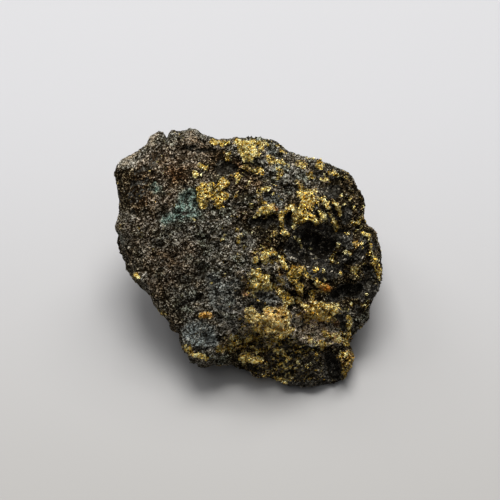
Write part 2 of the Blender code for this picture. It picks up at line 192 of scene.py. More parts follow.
    (0.65, 0.3, 0.2, (24.3, -19, 25.7, -18.6, 25.5, -20, 24.5, -20.2)),
    (0.85, 0.42, 0.3, (23.5, -20.6, 24.8, -20, 25.7, -21.2, 25.2, -22.3, 24, -21.9)),
    (0.7, 0.3, 0.15, (17.7, -20.3, 19.2, -21.1, 19.5, -22.4, 18.2, -23.3, 17.7, -22)),
    (0.45, 0.3, 0.1, (14.4, -19.4, 15.8, -20.1, 16.7, -21.6, 15, -21.8)),
    # knob
    (0.46, 0.1, 0.25, (
        23.2, -23.4, 24.4, -23.4, 25.2, -23, 26.5, -23.7, 27.1, -25.2, 27, -27.4, 26.2, -29.6, 24.9, -31.3,
        23.8, -31.4, 23.7, -29.2, 23.5, -27.2, 22.9, -25.4, 22.1, -24.3)),
    # bright specks on the dark right side
    (0.75, 0.6, 0.3, (16.4, -2.1, 17.7, -2.1, 17.2, -3, 17, -3.9, 16.2, -3.5)),
    (1.15, 1, 0.3, (18.6, -2.5, 19.3, -2.5, 19.2, -3.4, 18.7, -3.4)),
    (0.7, 0.5, 0.15, (20.4, 0.5, 21.5, 0.3, 21.6, -0.7, 20.5, -0.7)),
    (1, 0.5, 0.25, (
        16.3, -6.4, 17.6, -5.9, 18.7, -6.1, 19.6, -6.8, 21.1, -7.3, 20.6, -8.3, 19.2, -8.1, 18.2, -7.8,
        16.9, -7.1)),
    (0.8, 0.7, 0.25, (25.8, -2.2, 27.8, -2.1, 27.3, -3.4, 26, -3.6)),
)
BLACK = (
    (1.5, (
        10.6, 5, 13, 6, 17, 6, 21, 4, 20.4, 1, 20, -1.4, 18, -2.2, 14.8, -1.8, 11.6, -0.8, 9.8, 0.4,
        9.4, 2.4)),
    (1.15, (
        11, 6.8, 12.4, 7.9, 14.2, 8.4, 16, 8.9, 17.2, 7.9, 18.6, 8.8, 20.4, 7.8, 22.6, 6.6, 24.2, 5.4,
        22.4, 3, 20.6, 0.6, 20, -1.4, 18, -2.2, 14.8, -1.8, 11.6, -0.8, 9.8, 0.4, 8.6, 2.2, 9.8, 3.8,
        10.8, 5)),
    (1.25, (9.9, 11, 10.9, 11.4, 11.2, 9.4, 10.9, 7.4, 10, 6.8, 9, 7.6, 9, 9.4, 9.2, 10.2)),
    (1, (
        -8.8, 22.6, -7.4, 24.2, -5.2, 23.9, -3.4, 23.6, -2.4, 22.6, -3.4, 21, -5, 20.6, -7, 20.8,
        -8.4, 21.4)),
    (0.95, (-12.6, 27.2, -9, 27.5, -7.4, 27, -9.4, 26.5, -12.6, 26.1)),
    (0.95, (
        0.2, 9.6, 1.6, 10.2, 3, 10, 4.2, 9.6, 5.4, 10, 7.4, 9.8, 7.6, 8.6, 5.4, 8.4, 4.6, 7.4, 3.4, 8,
        1, 7.8, 0.4, 8.6)),
    (1.05, (20.2, 18.4, 23, 18.2, 23.4, 16.6, 22.6, 15, 20.8, 14.8, 19.9, 16)),
    (0.85, (16.2, 21.8, 19, 21.6, 18.6, 20.2, 16.4, 20.4)),
    (0.9, (23.8, 13.4, 25.8, 12.8, 25.6, 9, 24.2, 7.6, 23.6, 9.4, 23.8, 11.6)),
    (0.9, (24, 6.6, 26, 5.4, 26.2, 2.4, 24.6, 2, 22.6, 4.4)),
    (0.85, (27.8, 5.6, 29.6, 4.8, 29.6, 1, 28.4, -1, 26.6, -1.6, 23, -1.4, 21.6, 1, 26, 1.4, 28, 3)),
    (1.2, (31, 5, 31.8, 3.6, 31.9, 1.8, 31.2, 2.6, 30.9, 3.8)),
    (1.15, (
        19.8, -9.4, 21.6, -8.2, 23.4, -6.4, 27, -6.6, 29.4, -5, 29, -2.2, 31, -1.8, 31.9, -4.6, 30.8, -6.8,
        33.2, -6.6, 32.4, -9, 30.6, -10.6, 28.6, -10.4, 26, -9.8, 23.6, -9.6, 22.4, -11.2, 20.2, -11)),
    (1.2, (14.6, -2.4, 19.6, -1.6, 23.6, -1.2, 24, -3.6, 22, -5, 18, -5.2, 14.8, -4.4)),
    (1, (22.2, 7.2, 26.2, 7, 26, 3, 22.4, 3.2)),
    (0.85, (18.6, 18.4, 22.2, 18.2, 22.2, 14.6, 18.8, 14.8)),
    (1, (21.8, -14.6, 23.4, -13.6, 24.2, -15.4, 24.5, -17.2, 23.6, -19, 22.8, -17.6, 22.9, -16)),
    (0.85, (26.4, -12.2, 28, -12, 28.8, -14.6, 27.4, -15, 26.4, -13.8)),
    (1.2, (
        20.2, -23.6, 22.2, -24.7, 23.1, -27.2, 23.3, -30.2, 22.2, -30.8, 20.4, -29.6, 19.8, -27.2,
        19.7, -25.2)),
    (0.62, (
        8.4, -20.4, 12, -19.8, 14.4, -21.6, 17.6, -23.2, 20.2, -23.8, 19.6, -27, 21, -31.4, 17, -33, 8, -32,
        2.4, -30, 0.8, -27, 4.4, -26.4, 5, -23.4)),
    (1, (0.2, -11.2, 3.6, -11.4, 4.3, -12.6, 3.8, -14.2, 2.6, -13.4, 2, -12.4, 0.6, -12)),
    (0.9, (0.4, -21, 2.4, -21.2, 3.6, -22.4, 1.6, -23.2, 0.6, -22.4)),
    (1, (-0.4, -26.6, 3.4, -26.4, 3.8, -27.6, 2, -28.6, 0.2, -27.8)),
    (0.9, (2.8, -9.4, 3.8, -9.4, 3.8, -10.3, 3, -10.3)),
    (0.95, (5.1, -9.3, 6.3, -9.5, 6.3, -10.4, 5.3, -10.3)),
    (1.1, (-17.8, -12.1, -16, -11.2, -13.8, -10.5, -13.8, -10.9, -15.8, -11.6, -17.6, -12.6)),
    (0.8, (-14, -15.2, -12.4, -14.2, -12.4, -14.6, -13.8, -15.7)),
    (1.2, (-15.8, 18, -14.9, 18.1, -14.6, 17.4, -15.1, 17, -15.7, 17.3)),
    (0.9, (-15.7, 28.1, -13.6, 28.3, -12.5, 27.4, -14.8, 26.6, -15.9, 27.2)),
    (0.62, (
        -29.6, 19, -26.4, 19.6, -24.6, 20.4, -24.9, 17.4, -26, 15.6, -27.6, 14, -29.6, 13.2, -30.2, 16.4)),
    (0.7, (-24.4, 25.8, -23, 25, -22.8, 22.8, -25, 22.2, -28.4, 21, -28.8, 22, -25, 23.4)),
    (0.6, (-13.6, -2.6, -12.2, -2, -10.8, -2.4, -10.6, -4.6, -12, -5.4, -13.4, -4.4)),
    (0.6, (-17.8, 11.8, -16, 12.5, -14, 11.8, -13.8, 11, -16.4, 10.6, -17.8, 11)),
    (0.8, (-29.8, 11.8, -28.4, 11.6, -28.4, 10.8, -29.4, 10.4)),
    (0.8, (-20.5, 6.9, -19.4, 6.8, -19, 6.2, -20.2, 6.1)),
    (0.7, (-13.6, 5.4, -11.6, 5.4, -11.8, 4.2, -13.8, 4.3)),
)
TEAL = (
    (1.05, (
        -17.2, 15.4, -16.2, 16.4, -14.8, 17.4, -13.6, 17.6, -12.8, 16.8, -12.7, 14.6, -12.6, 12.6, -12, 11.4,
        -13, 9.8, -15.4, 9.4, -18, 9.2, -19.6, 8.4, -21, 8, -22, 9.2, -21.4, 10.8, -19.8, 11.2, -18.2, 12.2,
        -17.8, 14)),
    (1.2, (-24.7, 18.5, -23, 18.9, -21.9, 17.8, -22.1, 16.4, -23.6, 16.1, -24.7, 17)),
)
SLATE = (
    (1.05, (
        -15.7, -16.4, -14, -15.8, -12, -15.5, -10, -16.4, -8.4, -17.6, -7.6, -20, -7.9, -22, -10, -22.2,
        -12.4, -22.7, -14.4, -21.8, -16.2, -20.6, -16.5, -18.6)),
    (0.65, (
        -10.4, -4.2, -7.8, -4, -6.4, -6, -3.8, -5.2, -2.2, -5.8, -2.4, -7.4, -3.4, -9.8, -2.8, -12.4,
        -5.4, -13, -8.6, -12.8, -10, -11, -10.4, -8)),
    (0.9, (-9.9, -4.6, -8.5, -4.4, -8.1, -5.9, -9.6, -6.3)),
    (0.9, (-3.9, -5.4, -2.6, -5.4, -2.4, -6.5, -3.7, -6.7)),
    (0.65, (3, 15.4, 5.4, 15.9, 9.4, 15.6, 9.6, 14.2, 8, 13.6, 5, 14, 3.2, 14.2)),
    (0.8, (4.8, 26.9, 6.4, 27.2, 7.2, 26.2, 6.2, 25.4, 4.8, 25.7, 2.6, 24.8, 2.4, 23.9, 5.6, 24.2)),
    (0.6, (0.4, -8.6, 3, -8.6, 5, -8.8, 7.2, -9.4, 7.4, -11.2, 5.2, -11.6, 1, -11)),
)
RUST = (
    (0.2, (-20, 23.6, -17, 24, -15.4, 22.4, -16, 20, -18.6, 19.6, -20.6, 21.4)),
    (0.7, ORANGE_GRAIN),
    (1, (17.2, -6.8, 19.4, -6.5, 21.6, -7.2, 21, -8.6, 19, -8.4, 17.6, -7.8)),
    (0.8, (21.1, -15.9, 22.7, -15.7, 22.9, -17.1, 21.5, -17.3)),
    (0.8, (7.1, -3.3, 8.4, -2.7, 8.9, -3.8, 8, -4.1)),
    (0.18, (-1.4, -12, 4, -12.4, 11, -12, 11.2, -19.6, 4, -19, -1.4, -16.6)),
    (0.17, (12.6, -10.6, 16, -10.2, 21.6, -13, 21.4, -17, 17, -16.6, 13, -13)),
    (0.38, (4.2, -12.4, 7.4, -12.4, 9.4, -14.2, 9.6, -15.4, 7, -15.6, 4.4, -15.6)),
    (0.7, (6.4, 13.2, 7.8, 12.8, 7.2, 11.9, 6.2, 12.2)),
    (0.5, (-3.2, 24.4, -1.8, 24.6, -1.4, 23.2, -2.8, 22.8)),
    (0.45, (25.4, -23.6, 26.8, -24, 26.8, -25.2, 25.6, -24.6)),
    (0.45, (-1.4, -8, -0.2, -7.8, 0, -9.8, -1.2, -9.8)),
    (0.4, (26.2, 4.8, 27.8, 4.8, 27.8, 2.8, 26.4, 2.2)),
)
BROWN = (
    (0.95, (-25.4, 27.8, -24.6, 30.2, -22.8, 30.8, -22.2, 28.8, -23.6, 27.2)),
    (0.6, (-32, 20, -28, 24, -22, 28, -14, 31, -6, 27, -9, 19, -14, 18, -20, 13, -28, 12)),
    (1, (
        -21.8, 21.4, -20.6, 22.8, -18, 23.6, -16, 22.6, -15.2, 20.4, -16.4, 19.2, -18.8, 18.4, -20.8, 19.8)),
    (0.5, (-25, 2, -19, 3, -14, 5, -11.4, 2, -13, -1.4, -16, -4.6, -20, -8, -25, -7.4, -26, -2)),
    (0.65, (-4.4, 20.4, -1, 21.4, 2.8, 21, 4, 18.4, 1, 16.6, -2.4, 16.6, -4, 17.8)),
    (0.6, (-3.4, 12.2, 0, 12.4, 1, 10.4, -0.4, 8.6, -2.8, 9.4)),
    (0.45, (-31, 9, -24, 12, -22, 6, -25, 3, -29.6, 3.6)),
    (0.5, (-2, -3.6, 0.4, -4, 0.6, -10.4, -1.6, -10.2)),
    (0.7, (12, -14.6, 20, -16, 23, -20, 19, -22, 11.4, -19.6)),
)
PALE = (
    (0.75, (2.8, -8.4, 8, -8, 8.2, -11.2, 3.4, -11.6)),
    (0.85, (-9, -11.4, 0.2, -11.4, -0.8, -13.4, -1, -16.2, 1, -17.6, 0, -19.6, -4.4, -19.4, -8.4, -15.6)),
    (0.6, (-12, -19, -7.4, -18.8, -7.4, -23.2, -11.8, -23.2)),
    (0.95, (10.8, 22.2, 15.2, 22, 15, 18.2, 11, 18.4)),
    (0.55, (-15.6, 29.8, -11.2, 29.6, -11, 25.8, -15.4, 25.8)),
    (0.55, (3.6, -19.6, 7.2, -20, 7.4, -23, 3.6, -22.8)),
    (0.32, (-9.5, 12, -2, 11, 0, 6, 3, 4, 1, -3, -4, -4, -9, -1)),
    (0.8, (
        -33.4, 23.8, -31, 25, -28.4, 25.8, -27.2, 25.2, -27.6, 23.6, -29.4, 22.8, -31.4, 22.8, -33, 22.6)),
    (0.55, (-28, 26.3, -25.6, 26.3, -24.3, 24.8, -24.6, 23.5, -26.4, 24.2, -27.8, 25.2)),
    (1.1, (-25.7, 28.4, -24.5, 30.8, -22.4, 31, -21.9, 29.2, -22.6, 27.6, -24.2, 27.5)),
    (0.55, (-20.3, 29.6, -18.6, 30.1, -17.1, 28.8, -16.5, 26.4, -18.4, 25.7, -20.1, 27.6)),
    (0.4, (-15.9, 32, -12.6, 32.2, -11, 30.4, -12.4, 29.1, -15.7, 29.3)),
    (0.6, (
        3.6, 23.6, 5.2, 22.8, 8, 22.6, 11, 24.7, 13, 23.6, 15.4, 22.6, 16, 21, 15.7, 19.2, 14.8, 18.8,
        11.6, 18.6, 8, 18.9, 5.6, 19.8, 4, 21.4)),
    (1.2, (12.3, 20, 14.9, 20, 15.1, 19.1, 12.7, 18.9)),
    (0.35, (15.6, 18.4, 17.6, 18.6, 19.4, 17.4, 19.4, 16, 17.6, 16.2, 16.2, 17.2)),
    (1.05, (10.6, -13.4, 15, -13.6, 20, -15.4, 23.4, -17.6, 23, -21.6, 17, -22.6, 11, -21.4)),
    (0.55, (6.4, -3.8, 9.4, -4.2, 10.8, -7.6, 7, -7.8)),
    (0.5, (3.2, -1.4, 7.4, -0.2, 8, -3.4, 4.2, -3.8)),
    (0.45, (-27, -3.6, -22.6, -4, -22.4, -8.4, -25.6, -8.8)),
    (1.4, (12.8, -15.1, 13.4, -14.9, 13.9, -15.4, 13.4, -16, 12.8, -15.7)),
    (0.8, (20.4, -19.5, 22.2, -20.5, 23.1, -22, 22, -22.7, 20.6, -21.7)),
    (1.4, (-29.5, 9.1, -28.8, 10.1, -28.1, 10.5, -28.3, 9.6, -28.9, 9)),
    (1.5, (-18.7, 3.4, -18.2, 4, -17.5, 4, -17.3, 3.4, -18, 2.9)),
    (1.2, (-17.1, 4.1, -16.6, 4.4, -16.2, 4.2, -16.6, 3.8)),
    (0.65, (-20.9, 13.6, -18.4, 15.7, -16.2, 17.5, -15.7, 17, -17.8, 14.8, -20.2, 12.9)),
    (0.6, (-17.4, -8, -15.6, -7.8, -14.6, -9.4, -16.4, -9.9)),
    (0.5, (-25.9, 16.4, -24.4, 16.4, -24.1, 14.8, -25.4, 14.4)),
    (0.6, (26.4, -7.6, 27.8, -7.6, 27.9, -8.9, 26.8, -9.2)),
    (0.6, (-13.3, 23.2, -11.8, 23.2, -11.8, 22.7, -13.2, 22.6)),
)
# Dark rock between the ore
DIM = (
    (0.6, (-0.4, 22.2, 3.4, 22, 3.6, 18.4, -0.2, 18.4)),
    (0.5, (-4.2, 18.4, 0.2, 18.4, 0.4, 14.4, -4, 14.2)),
    (0.55, (-19.6, 22.4, -15.2, 22.4, -14.8, 18.4, -19.2, 18)),
    (1.1, (
        7, 10, 9, 12.5, 9.6, 15, 20, 14, 20, 17, 24, 21.5, 29, 17, 33, 8, 34, -2, 33, -10, 29, -13, 24, -12,
        18, -9, 12, -6, 9, -1, 2, 3, 6, 8)),
    (0.85, (-3, 10.8, 8, 11.2, 9, 5, 5, 4.6, 1, 6, -3.4, 7.8)),
    (0.9, (
        -5, -20.6, 4, -19, 9, -19, 14, -20.6, 20, -21, 25, -18, 28, -22, 26, -30, 14, -35, 0, -31, -5, -26)),
    (0.8, (-10.6, 24, -7, 26.6, -3, 25.6, 0, 22.4, -3, 19.4, -8, 19.6)),
    (0.75, (-34, 22, -28, 22.4, -24, 22, -23, 16, -27, 11, -33, 12)),
    (0.45, (-34, 4, -27, 2, -20, -8, -16, -15, -19, -22, -30, -12)),
    (0.75, (2.6, -3.4, 9.6, -3, 16, -7, 20, -11, 24, -16, 20, -16, 14, -13, 8, -11.4, 3, -9)),
)
# Dark gaps that part the ore
GAPS = (
    (1.1, (
        16.7, 14.6, 17.3, 13, 17.1, 11.8, 17.8, 10.2, 18.3, 8.8, 17.9, 8.8, 17.2, 10.3, 16.6, 11.8,
        16.7, 13.2)),
    (1.1, (18.5, 13, 19.3, 11.9, 20, 10.4, 20.5, 8.6, 20, 8.6, 19.6, 10.4, 18.8, 11.9, 18.2, 12.7)),
    (1.1, (
        20.5, 14.8, 21.2, 13.2, 21.7, 12, 22.4, 10.4, 23, 9.2, 22.5, 9.2, 21.8, 10.4, 21, 12, 20.6, 13.2)),
    (0.9, (13.8, 13, 15.2, 12.4, 16.2, 11.2, 16, 10.8, 14.8, 11.9, 13.7, 12.6)),
    (0.9, (15.8, 14.8, 16.2, 14.4, 16.1, 13.2, 15.7, 13.4)),
    (0.9, (18.2, -11.9, 19.6, -13, 21.2, -14.3, 21, -14.6, 19.3, -13.4, 18, -12.3)),
    (0.8, (16.3, -13.9, 16.9, -13.5, 16.6, -12.1, 16.1, -12.2)),
    (1, (6.2, -13.1, 7.3, -13, 7.3, -13.7, 6.4, -13.8)),
    (1, (7.9, -14.5, 9.5, -14.6, 9.4, -15.2, 8.1, -15.3)),
    (0.9, (4.6, -16.6, 5.8, -16.7, 5.8, -17.4, 4.7, -17.5)),
    (0.8, (2, 28.2, 2.7, 28.1, 2.6, 27.4, 2, 27.5)),
    (0.7, (2.8, 27.1, 3.5, 27, 3.3, 26.3, 2.7, 26.5)),
    (0.8, (-4.9, 17.6, -4.4, 17.4, -5.2, 16.5, -6.4, 16.6, -6.2, 16.9)),
)
# Plates that lean back and end in a ledge at their foot: height of the ledge and outline
PLATES = (
    (1.9, (4, -12, 10.6, -12, 11, -19.5, 4, -19.2)),
    (1.3, (-1.2, -12, 4, -12.2, 4, -17.6, -1.4, -16.8)),
    (0.9, (-16, -15.2, -8, -16.2, -7.4, -22, -14.4, -22.6, -17.2, -20.4)),
    (1.1, (11.4, -13.4, 21, -15.4, 23.6, -21.8, 15.6, -22, 11.2, -19.4)),
)
# Knobs and a notch on the crown's edge: u, half of the width and height
CROWN = ((-22.2, 1.7, 0.7), (-18.9, 1.5, 0.8), (-20.3, 0.7, -1.0))
CROWN_FOOT, CROWN_FADE = 28.0, 3.0
# Small grains of ore, bright with painted glints: u, v and radius
BEADS = (
    (12.9, 4.2, 0.55), (13.3, 3.1, 0.3), (15.9, 2.4, 0.3), (11.7, 5, 0.3), (22.9, 3.6, 0.4),
    (19.5, -5.4, 0.35), (23.2, -3.6, 0.35), (29.5, -9.1, 0.3), (24.1, 13.3, 0.35), (25.8, 14.7, 0.25),
    (23.5, 15.4, 0.3), (5.5, 2.4, 0.3), (1.1, 6.1, 0.25), (-6.4, 4.4, 0.3), (-6, 5.4, 0.3), (0.8, 13.3, 0.5),
    (6.4, 16.3, 0.35), (10.3, 23.1, 0.25), (7.7, 22.3, 0.35), (19, 21, 0.3), (1.3, -17, 0.4),
    (4.6, -19.5, 0.35), (-2.9, 18.5, 0.3), (28.6, 3.8, 0.35), (24.3, 1.4, 0.4), (25.4, 1.2, 0.3),
    (2.1, -23.5, 0.3), (6.8, -25.3, 0.3), (4.8, -26.3, 0.3), (20.4, -21.4, 0.25), (24.6, -24.4, 0.35),
    (12.4, -26.1, 0.3), (-9.2, -6.2, 0.2), (16, -20.8, 0.3), (9, -27.2, 0.3), (-15.9, -22, 0.25),
    (10.7, -27.7, 0.25), (25, -17.4, 0.3), (22.4, -11.8, 0.3), (26, -11.7, 0.3), (24.9, -13.1, 0.25),
    (14.6, 17.3, 0.3), (-12, 23, 0.25),
)
# Every kind of patch but ore
ZONES = {
    "black": BLACK, "teal": TEAL, "slate": SLATE, "rust": RUST, "brown": BROWN, "pale": PALE, "dim": DIM
}
# Widths of the patches' soft edges
ZONE_EDGE = {"black": 0.8, "teal": 1.7, "slate": 1.7, "rust": 0.9, "brown": 2.6, "pale": 0.9, "dim": 2.4}
ORE_EDGE = 0.45
GAP_EDGE = 0.3
PLATE_EDGE = 0.8
GAP_DEPTH, GAP_BITE = 0.35, 1.2  # how far a gap sinks and what it takes from the ore's strength
BLACK_DEPTH, BLACK_SPAN = 0.45, 0.5  # how far black patches sink and the span of facing over which they do
USUAL_POLISH = 0.6
# Beads: strength, a polish high enough to paint glints on them, and lift
BEAD_STRENGTH, BEAD_GLINT_POLISH, BEAD_LIFT = 1.3, 1.4, 0.25

# How squarely a place must face the viewer for the drawn minerals to start, and the span of their rise
DRAWN_START, DRAWN_SPAN = -0.05, 0.35
# Waves and reaches of the noises that bend the drawn edges
EDGE_BENDS = ((1.3, 0.6), (4.5, 0.3))
# Ore scattered between the patches: wavelength, level at which it starts and span of the rise, its
# strength on the face's left and what the right adds, and the shares lost at the foot and at the right end
DUST_WAVE, DUST_START, DUST_SPAN = 2.6, 0.05, 0.35
DUST_LEFT, DUST_RIGHT, DUST_FOOT_LESS, DUST_END_LESS = 0.16, 0.32, 0.5, 0.4
# Minerals where nothing is drawn: noise wavelength, level at which they start, span of the rise and most
WILD = {
    "ore": (6.0, 0.16, 0.14, 0.9), "black": (8.0, 0.05, 0.25, 0.8), "teal": (9.0, 0.30, 0.20, 0.7),
    "slate": (7.0, 0.18, 0.25, 0.7), "rust": (7.5, 0.24, 0.20, 0.7), "brown": (12.0, 0.0, 0.4, 0.7),
    "pale": (9.0, 0.18, 0.3, 0.5), "dim": (11.0, -0.05, 0.3, 0.8),
}
WILD_POLISH = 0.45
FINER, FINER_SHARE = 3.3, 0.35  # how many times finer their second noise is, and its share
# Wild ore keeps to places that face away, and fades out towards the crown: start and span of each
WILD_ORE_FACING, WILD_ORE_CROWN = (0.1, 0.3), (30.0, 3.0)
ATTRIBUTES = ("ore", "polish", *ZONES)

# Small flat breaks of the rock and of the ore: size, tilt and step between neighbours
ROCK_FLAKES = ((2.1, 0.34, 0.16), (1.0, 0.40, 0.08), (0.6, 0.30, 0.04))
ORE_FLAKES = (0.8, 0.5, 0.10)
FLAKE_BEND = (1.1, 0.25)  # wave and reach of the noise that bends their edges
# Sharp ridges: wavelength, height and the middle of their noise
CRAG_WAVE, CRAG_HEIGHT, CRAG_MIDDLE = 2.4, 0.13, 1.2
# Where the breaks are lower: on the left, near the rim and on black patches, each by a share
LEFT_START, LEFT_SPAN, LEFT_LESS = 4.0, 26.0, 0.45
RIM_SPAN, RIM_LESS = 0.45, 0.3
BLACK_LESS = 0.6
BASE_FLAT, BASE_NEAR, FLOOR_GAP = 0.35, 0.6, 0.05  # the base's band, a wider one, and its clearance
MERGE_REACH = 0.001 * MM
SMOOTHING = {"factor": 0.5, "iterations": 7}
# The hollow depth below sets where shade is painted into the skin's colour
HOLLOW_ROUNDS, HOLLOW_DEPTH = 9, 0.22  # rounds of softening that fill a full hollow this deep
BROAD_ROUNDS = 30  # of softening, for the bake map's sides
SHARP_ANGLE = math.radians(26.0)

# The skin's bake map: where its rows and its second column start, and its side
ATLAS_ROWS = (0.0, 66.0, 112.0)
ATLAS_COLUMN = 76.0
ATLAS_SIDE = 160.0

# Loose grains: number of shapes, the cube that they start from and how far its corners are pulled
GRAIN_SHAPES, GRAIN_CUBE, GRAIN_PULL = 16, 1.3, 0.38
GRAIN_SEED = 11
# Odds of a grain: ore grains need more ore than this, and rock grains keep a little of theirs anywhere
ORE_NEEDED, ORE_ODDS_POWER = 0.35, 1.5
ROCK_ODDS_LEAST, BEHIND_ODDS = 0.02, 0.05
BARE_FOOT = 0.8 * MM  # no grains below this height
ORE_SIZES, ROCK_SIZES, SIZE_POWER = (0.35, 1.0), (0.35, 0.7), 1.4  # as shares of the largest
GRAIN_WIDTHS, GRAIN_THICKNESSES = (0.5, 0.9), (0.35, 0.7)  # as shares of the length
GRAIN_SUNK, GRAIN_REACH = 0.12, 1.9  # depth in the skin and least height over the floor, in sizes
ORE_GAIN = 0.6
PALE_SWING, POLISH_SWING = (-0.9, 0.8), (-0.25, 0.35)
GRAIN_MARGIN = 0.05  # round each side in the bake map


# ----------
# Settings that a user would change


class SkinSettings(bpy.types.PropertyGroup):
    spacing: FloatProperty(
        name="Spacing", description="Distance between the skin's points before thinning",
        default=0.235 * MM, unit="LENGTH", precision=5,
    )
    triangles: IntProperty(
        name="Triangles", description="Triangles left in the skin after thinning", default=196000
    )
    relief: FloatProperty(
        name="Relief", description="Height of the fine breaks, as a share of the usual", default=1.0,
        subtype="FACTOR",
    )
    gold: FloatVectorProperty(
        name="Gold", description="Colour of clean ore", default=(1.0, 0.665, 0.095), subtype="COLOR"
    )
    teal: FloatVectorProperty(
        name="Teal", description="Colour of the copper stain", default=(0.28, 0.46, 0.39), subtype="COLOR"
    )
    slate: FloatVectorProperty(
        name="Slate", description="Colour of the blue-grey rock", default=(0.41, 0.48, 0.47), subtype="COLOR"
    )
    rust: FloatVectorProperty(
        name="Rust", description="Colour of the iron stain", default=(0.62, 0.24, 0.05), subtype="COLOR"
    )


class GrainSettings(bpy.types.PropertyGroup):
    ore_count: IntProperty(name="Ore grains", description="Number of loose grains of ore", default=3600)
    rock_count: IntProperty(name="Rock grains", description="Number of loose grains of rock", default=3800)
    largest: FloatProperty(
        name="Largest", description="Radius of the largest grain", default=0.55 * MM, unit="LENGTH",
        precision=5,
    )


class StageSettings(bpy.types.PropertyGroup):
    floor: FloatVectorProperty(
        name="Floor", description="Colour of the floor", default=(0.50, 0.50, 0.515), subtype="COLOR"
    )
    # The near floor is darker: painted shade of the light falling off towards the viewer
    near_floor_painted_shade: FloatVectorProperty(
        name="Near floor", description="Colour of the floor near the viewer", default=(0.425, 0.415, 0.40),
        subtype="COLOR",
    )
    overhead: FloatProperty(
        name="Overhead light", description="Power of the broad light above", default=6.7, unit="POWER"
    )
    key: FloatProperty(
        name="Key light", description="Power of the light from the back right", default=1.4, unit="POWER"
    )
    fill: FloatProperty(
        name="Fill light", description="Power of the light from the back left", default=1.2, unit="POWER"
    )
    sky: FloatProperty(name="Sky", description="Strength of the light straight above", default=0.85)


# ----------
# Materials


# Layout of a material's nodes in the editor
NODE_ROWS, NODE_PITCH, NODE_START = 6, (180, 170), (1800, 900)

# The ore rock. Widths of its grains, wavelengths of its noises and widths between its cracks
CLUMP, COARSE, FINE, GRIT = 1.5, 0.66, 0.32, 0.23
DRIFT, CLOUD, MIST = 4.5, 2.6, 0.6
SEAM, CRACK = 0.95, 0.45
SWAY_SCALE, SWAY_REACH = 0.9, 1.6
GRAIN_STRETCH = 0.45
BUMP_STRENGTH, BUMP_HEIGHT = 0.8, 0.16 * MM
ROCK_STOPS = (
    (0.08, (0.0034, 0.0023, 0.0012)), (0.28, (0.019, 0.014, 0.0085)), (0.42, (0.075, 0.063, 0.043)),
    (0.58, (0.180, 0.162, 0.120)), (0.76, (0.38, 0.36, 0.29)), (0.95, (0.68, 0.65, 0.58)),
)
BLACK_STOPS = (
    (0.10, (0.0016, 0.0016, 0.0019)), (0.44, (0.012, 0.0118, 0.0115)), (0.66, (0.058, 0.055, 0.048)),
    (0.92, (0.21, 0.20, 0.165)),
)
# The ore's colours, from tarnish to polish: the darkest stops also stand for painted shade on faces turned
# from the light, and the palest for painted highlights
TARNISH_AND_SHADE_STOPS = (
    (0.04, (0.020, 0.009, 0.0008)), (0.20, (0.38, 0.175, 0.010)), (0.34, (0.80, 0.46, 0.042)),
)
CLEAN_GOLD = 0.56
PALE_AND_HIGHLIGHT_STOPS = ((0.82, (1.0, 0.80, 0.21)), (1.0, (1.0, 0.95, 0.54)))
# Tints that colours are multiplied by
WARM_TINT, COOL_TINT = (1.0, 0.80, 0.58), (0.80, 0.98, 0.90)
EARTH_TINTS = ((1.0, 0.58, 0.36), (1.0, 0.84, 0.68))  # of dark and of light specks
DUSK_TINT = (1.0, 0.80, 0.50)
NEAR_ORE_TINT = (1.0, 0.68, 0.27)
GLOSS_TINT = (1.0, 0.76, 0.42, 1.0)
# Stains: their most, the specks between which they go from their shade to clean, and that shade
STAINS = {
    "teal": (0.85, 0.2, 0.85, (0.008, 0.014, 0.011)),
    "slate": (0.85, 0.15, 0.9, (0.012, 0.014, 0.013)),
    "rust": (0.8, 0.2, 0.8, (0.02, 0.006, 0.002)),
}
# Colours that are mixed in: the deepest black, a painted glint, rusty ore, and painted shade for the seams
# and the hollows
DEEP_BLACK, PAINTED_GLINT = (0.0065, 0.0068, 0.0078), (0.66, 0.60, 0.47)
RUSTY_GOLD, SEAM_PAINTED_SHADE = (0.70, 0.28, 0.04), (0.03, 0.018, 0.005)
PAINTED_HOLLOW_SHADE = (0.004, 0.003, 0.0015)


class Wire:
    """An output socket. Arithmetic on it adds Math nodes to its tree."""

    def __init__(self, tree, socket):
        self.tree = tree
        self.socket = socket

    def math(self, operation, *values):
        return self.tree.node("ShaderNodeMath", {"operation": operation}, dict(enumerate(values)))

    def __add__(self, other):
        return self.math("ADD", self, other)

    def __radd__(self, other):
        return self.math("ADD", other, self)

    def __sub__(self, other):
        return self.math("SUBTRACT", self, other)

    def __rsub__(self, other):
        return self.math("SUBTRACT", other, self)

    def __mul__(self, other):
        return self.math("MULTIPLY", self, other)

    def __rmul__(self, other):
        return self.math("MULTIPLY", other, self)

    def __pow__(self, other):
        return self.math("POWER", self, other)

    def most(self, other):
        return self.math("MAXIMUM", self, other)

    def least(self, other):
        return self.math("MINIMUM", self, other)

    def step(self, low, high):
        """0 below low, 1 above high and smooth between."""
        settings = {"interpolation_type": "SMOOTHSTEP"}
        return self.tree.node("ShaderNodeMapRange", settings, {0: self, 1: low, 2: high})

    def swing(self, span):
        """A number from 0 to 1 as a swing about nothing, of the given span."""
        return (self - 0.5) * span


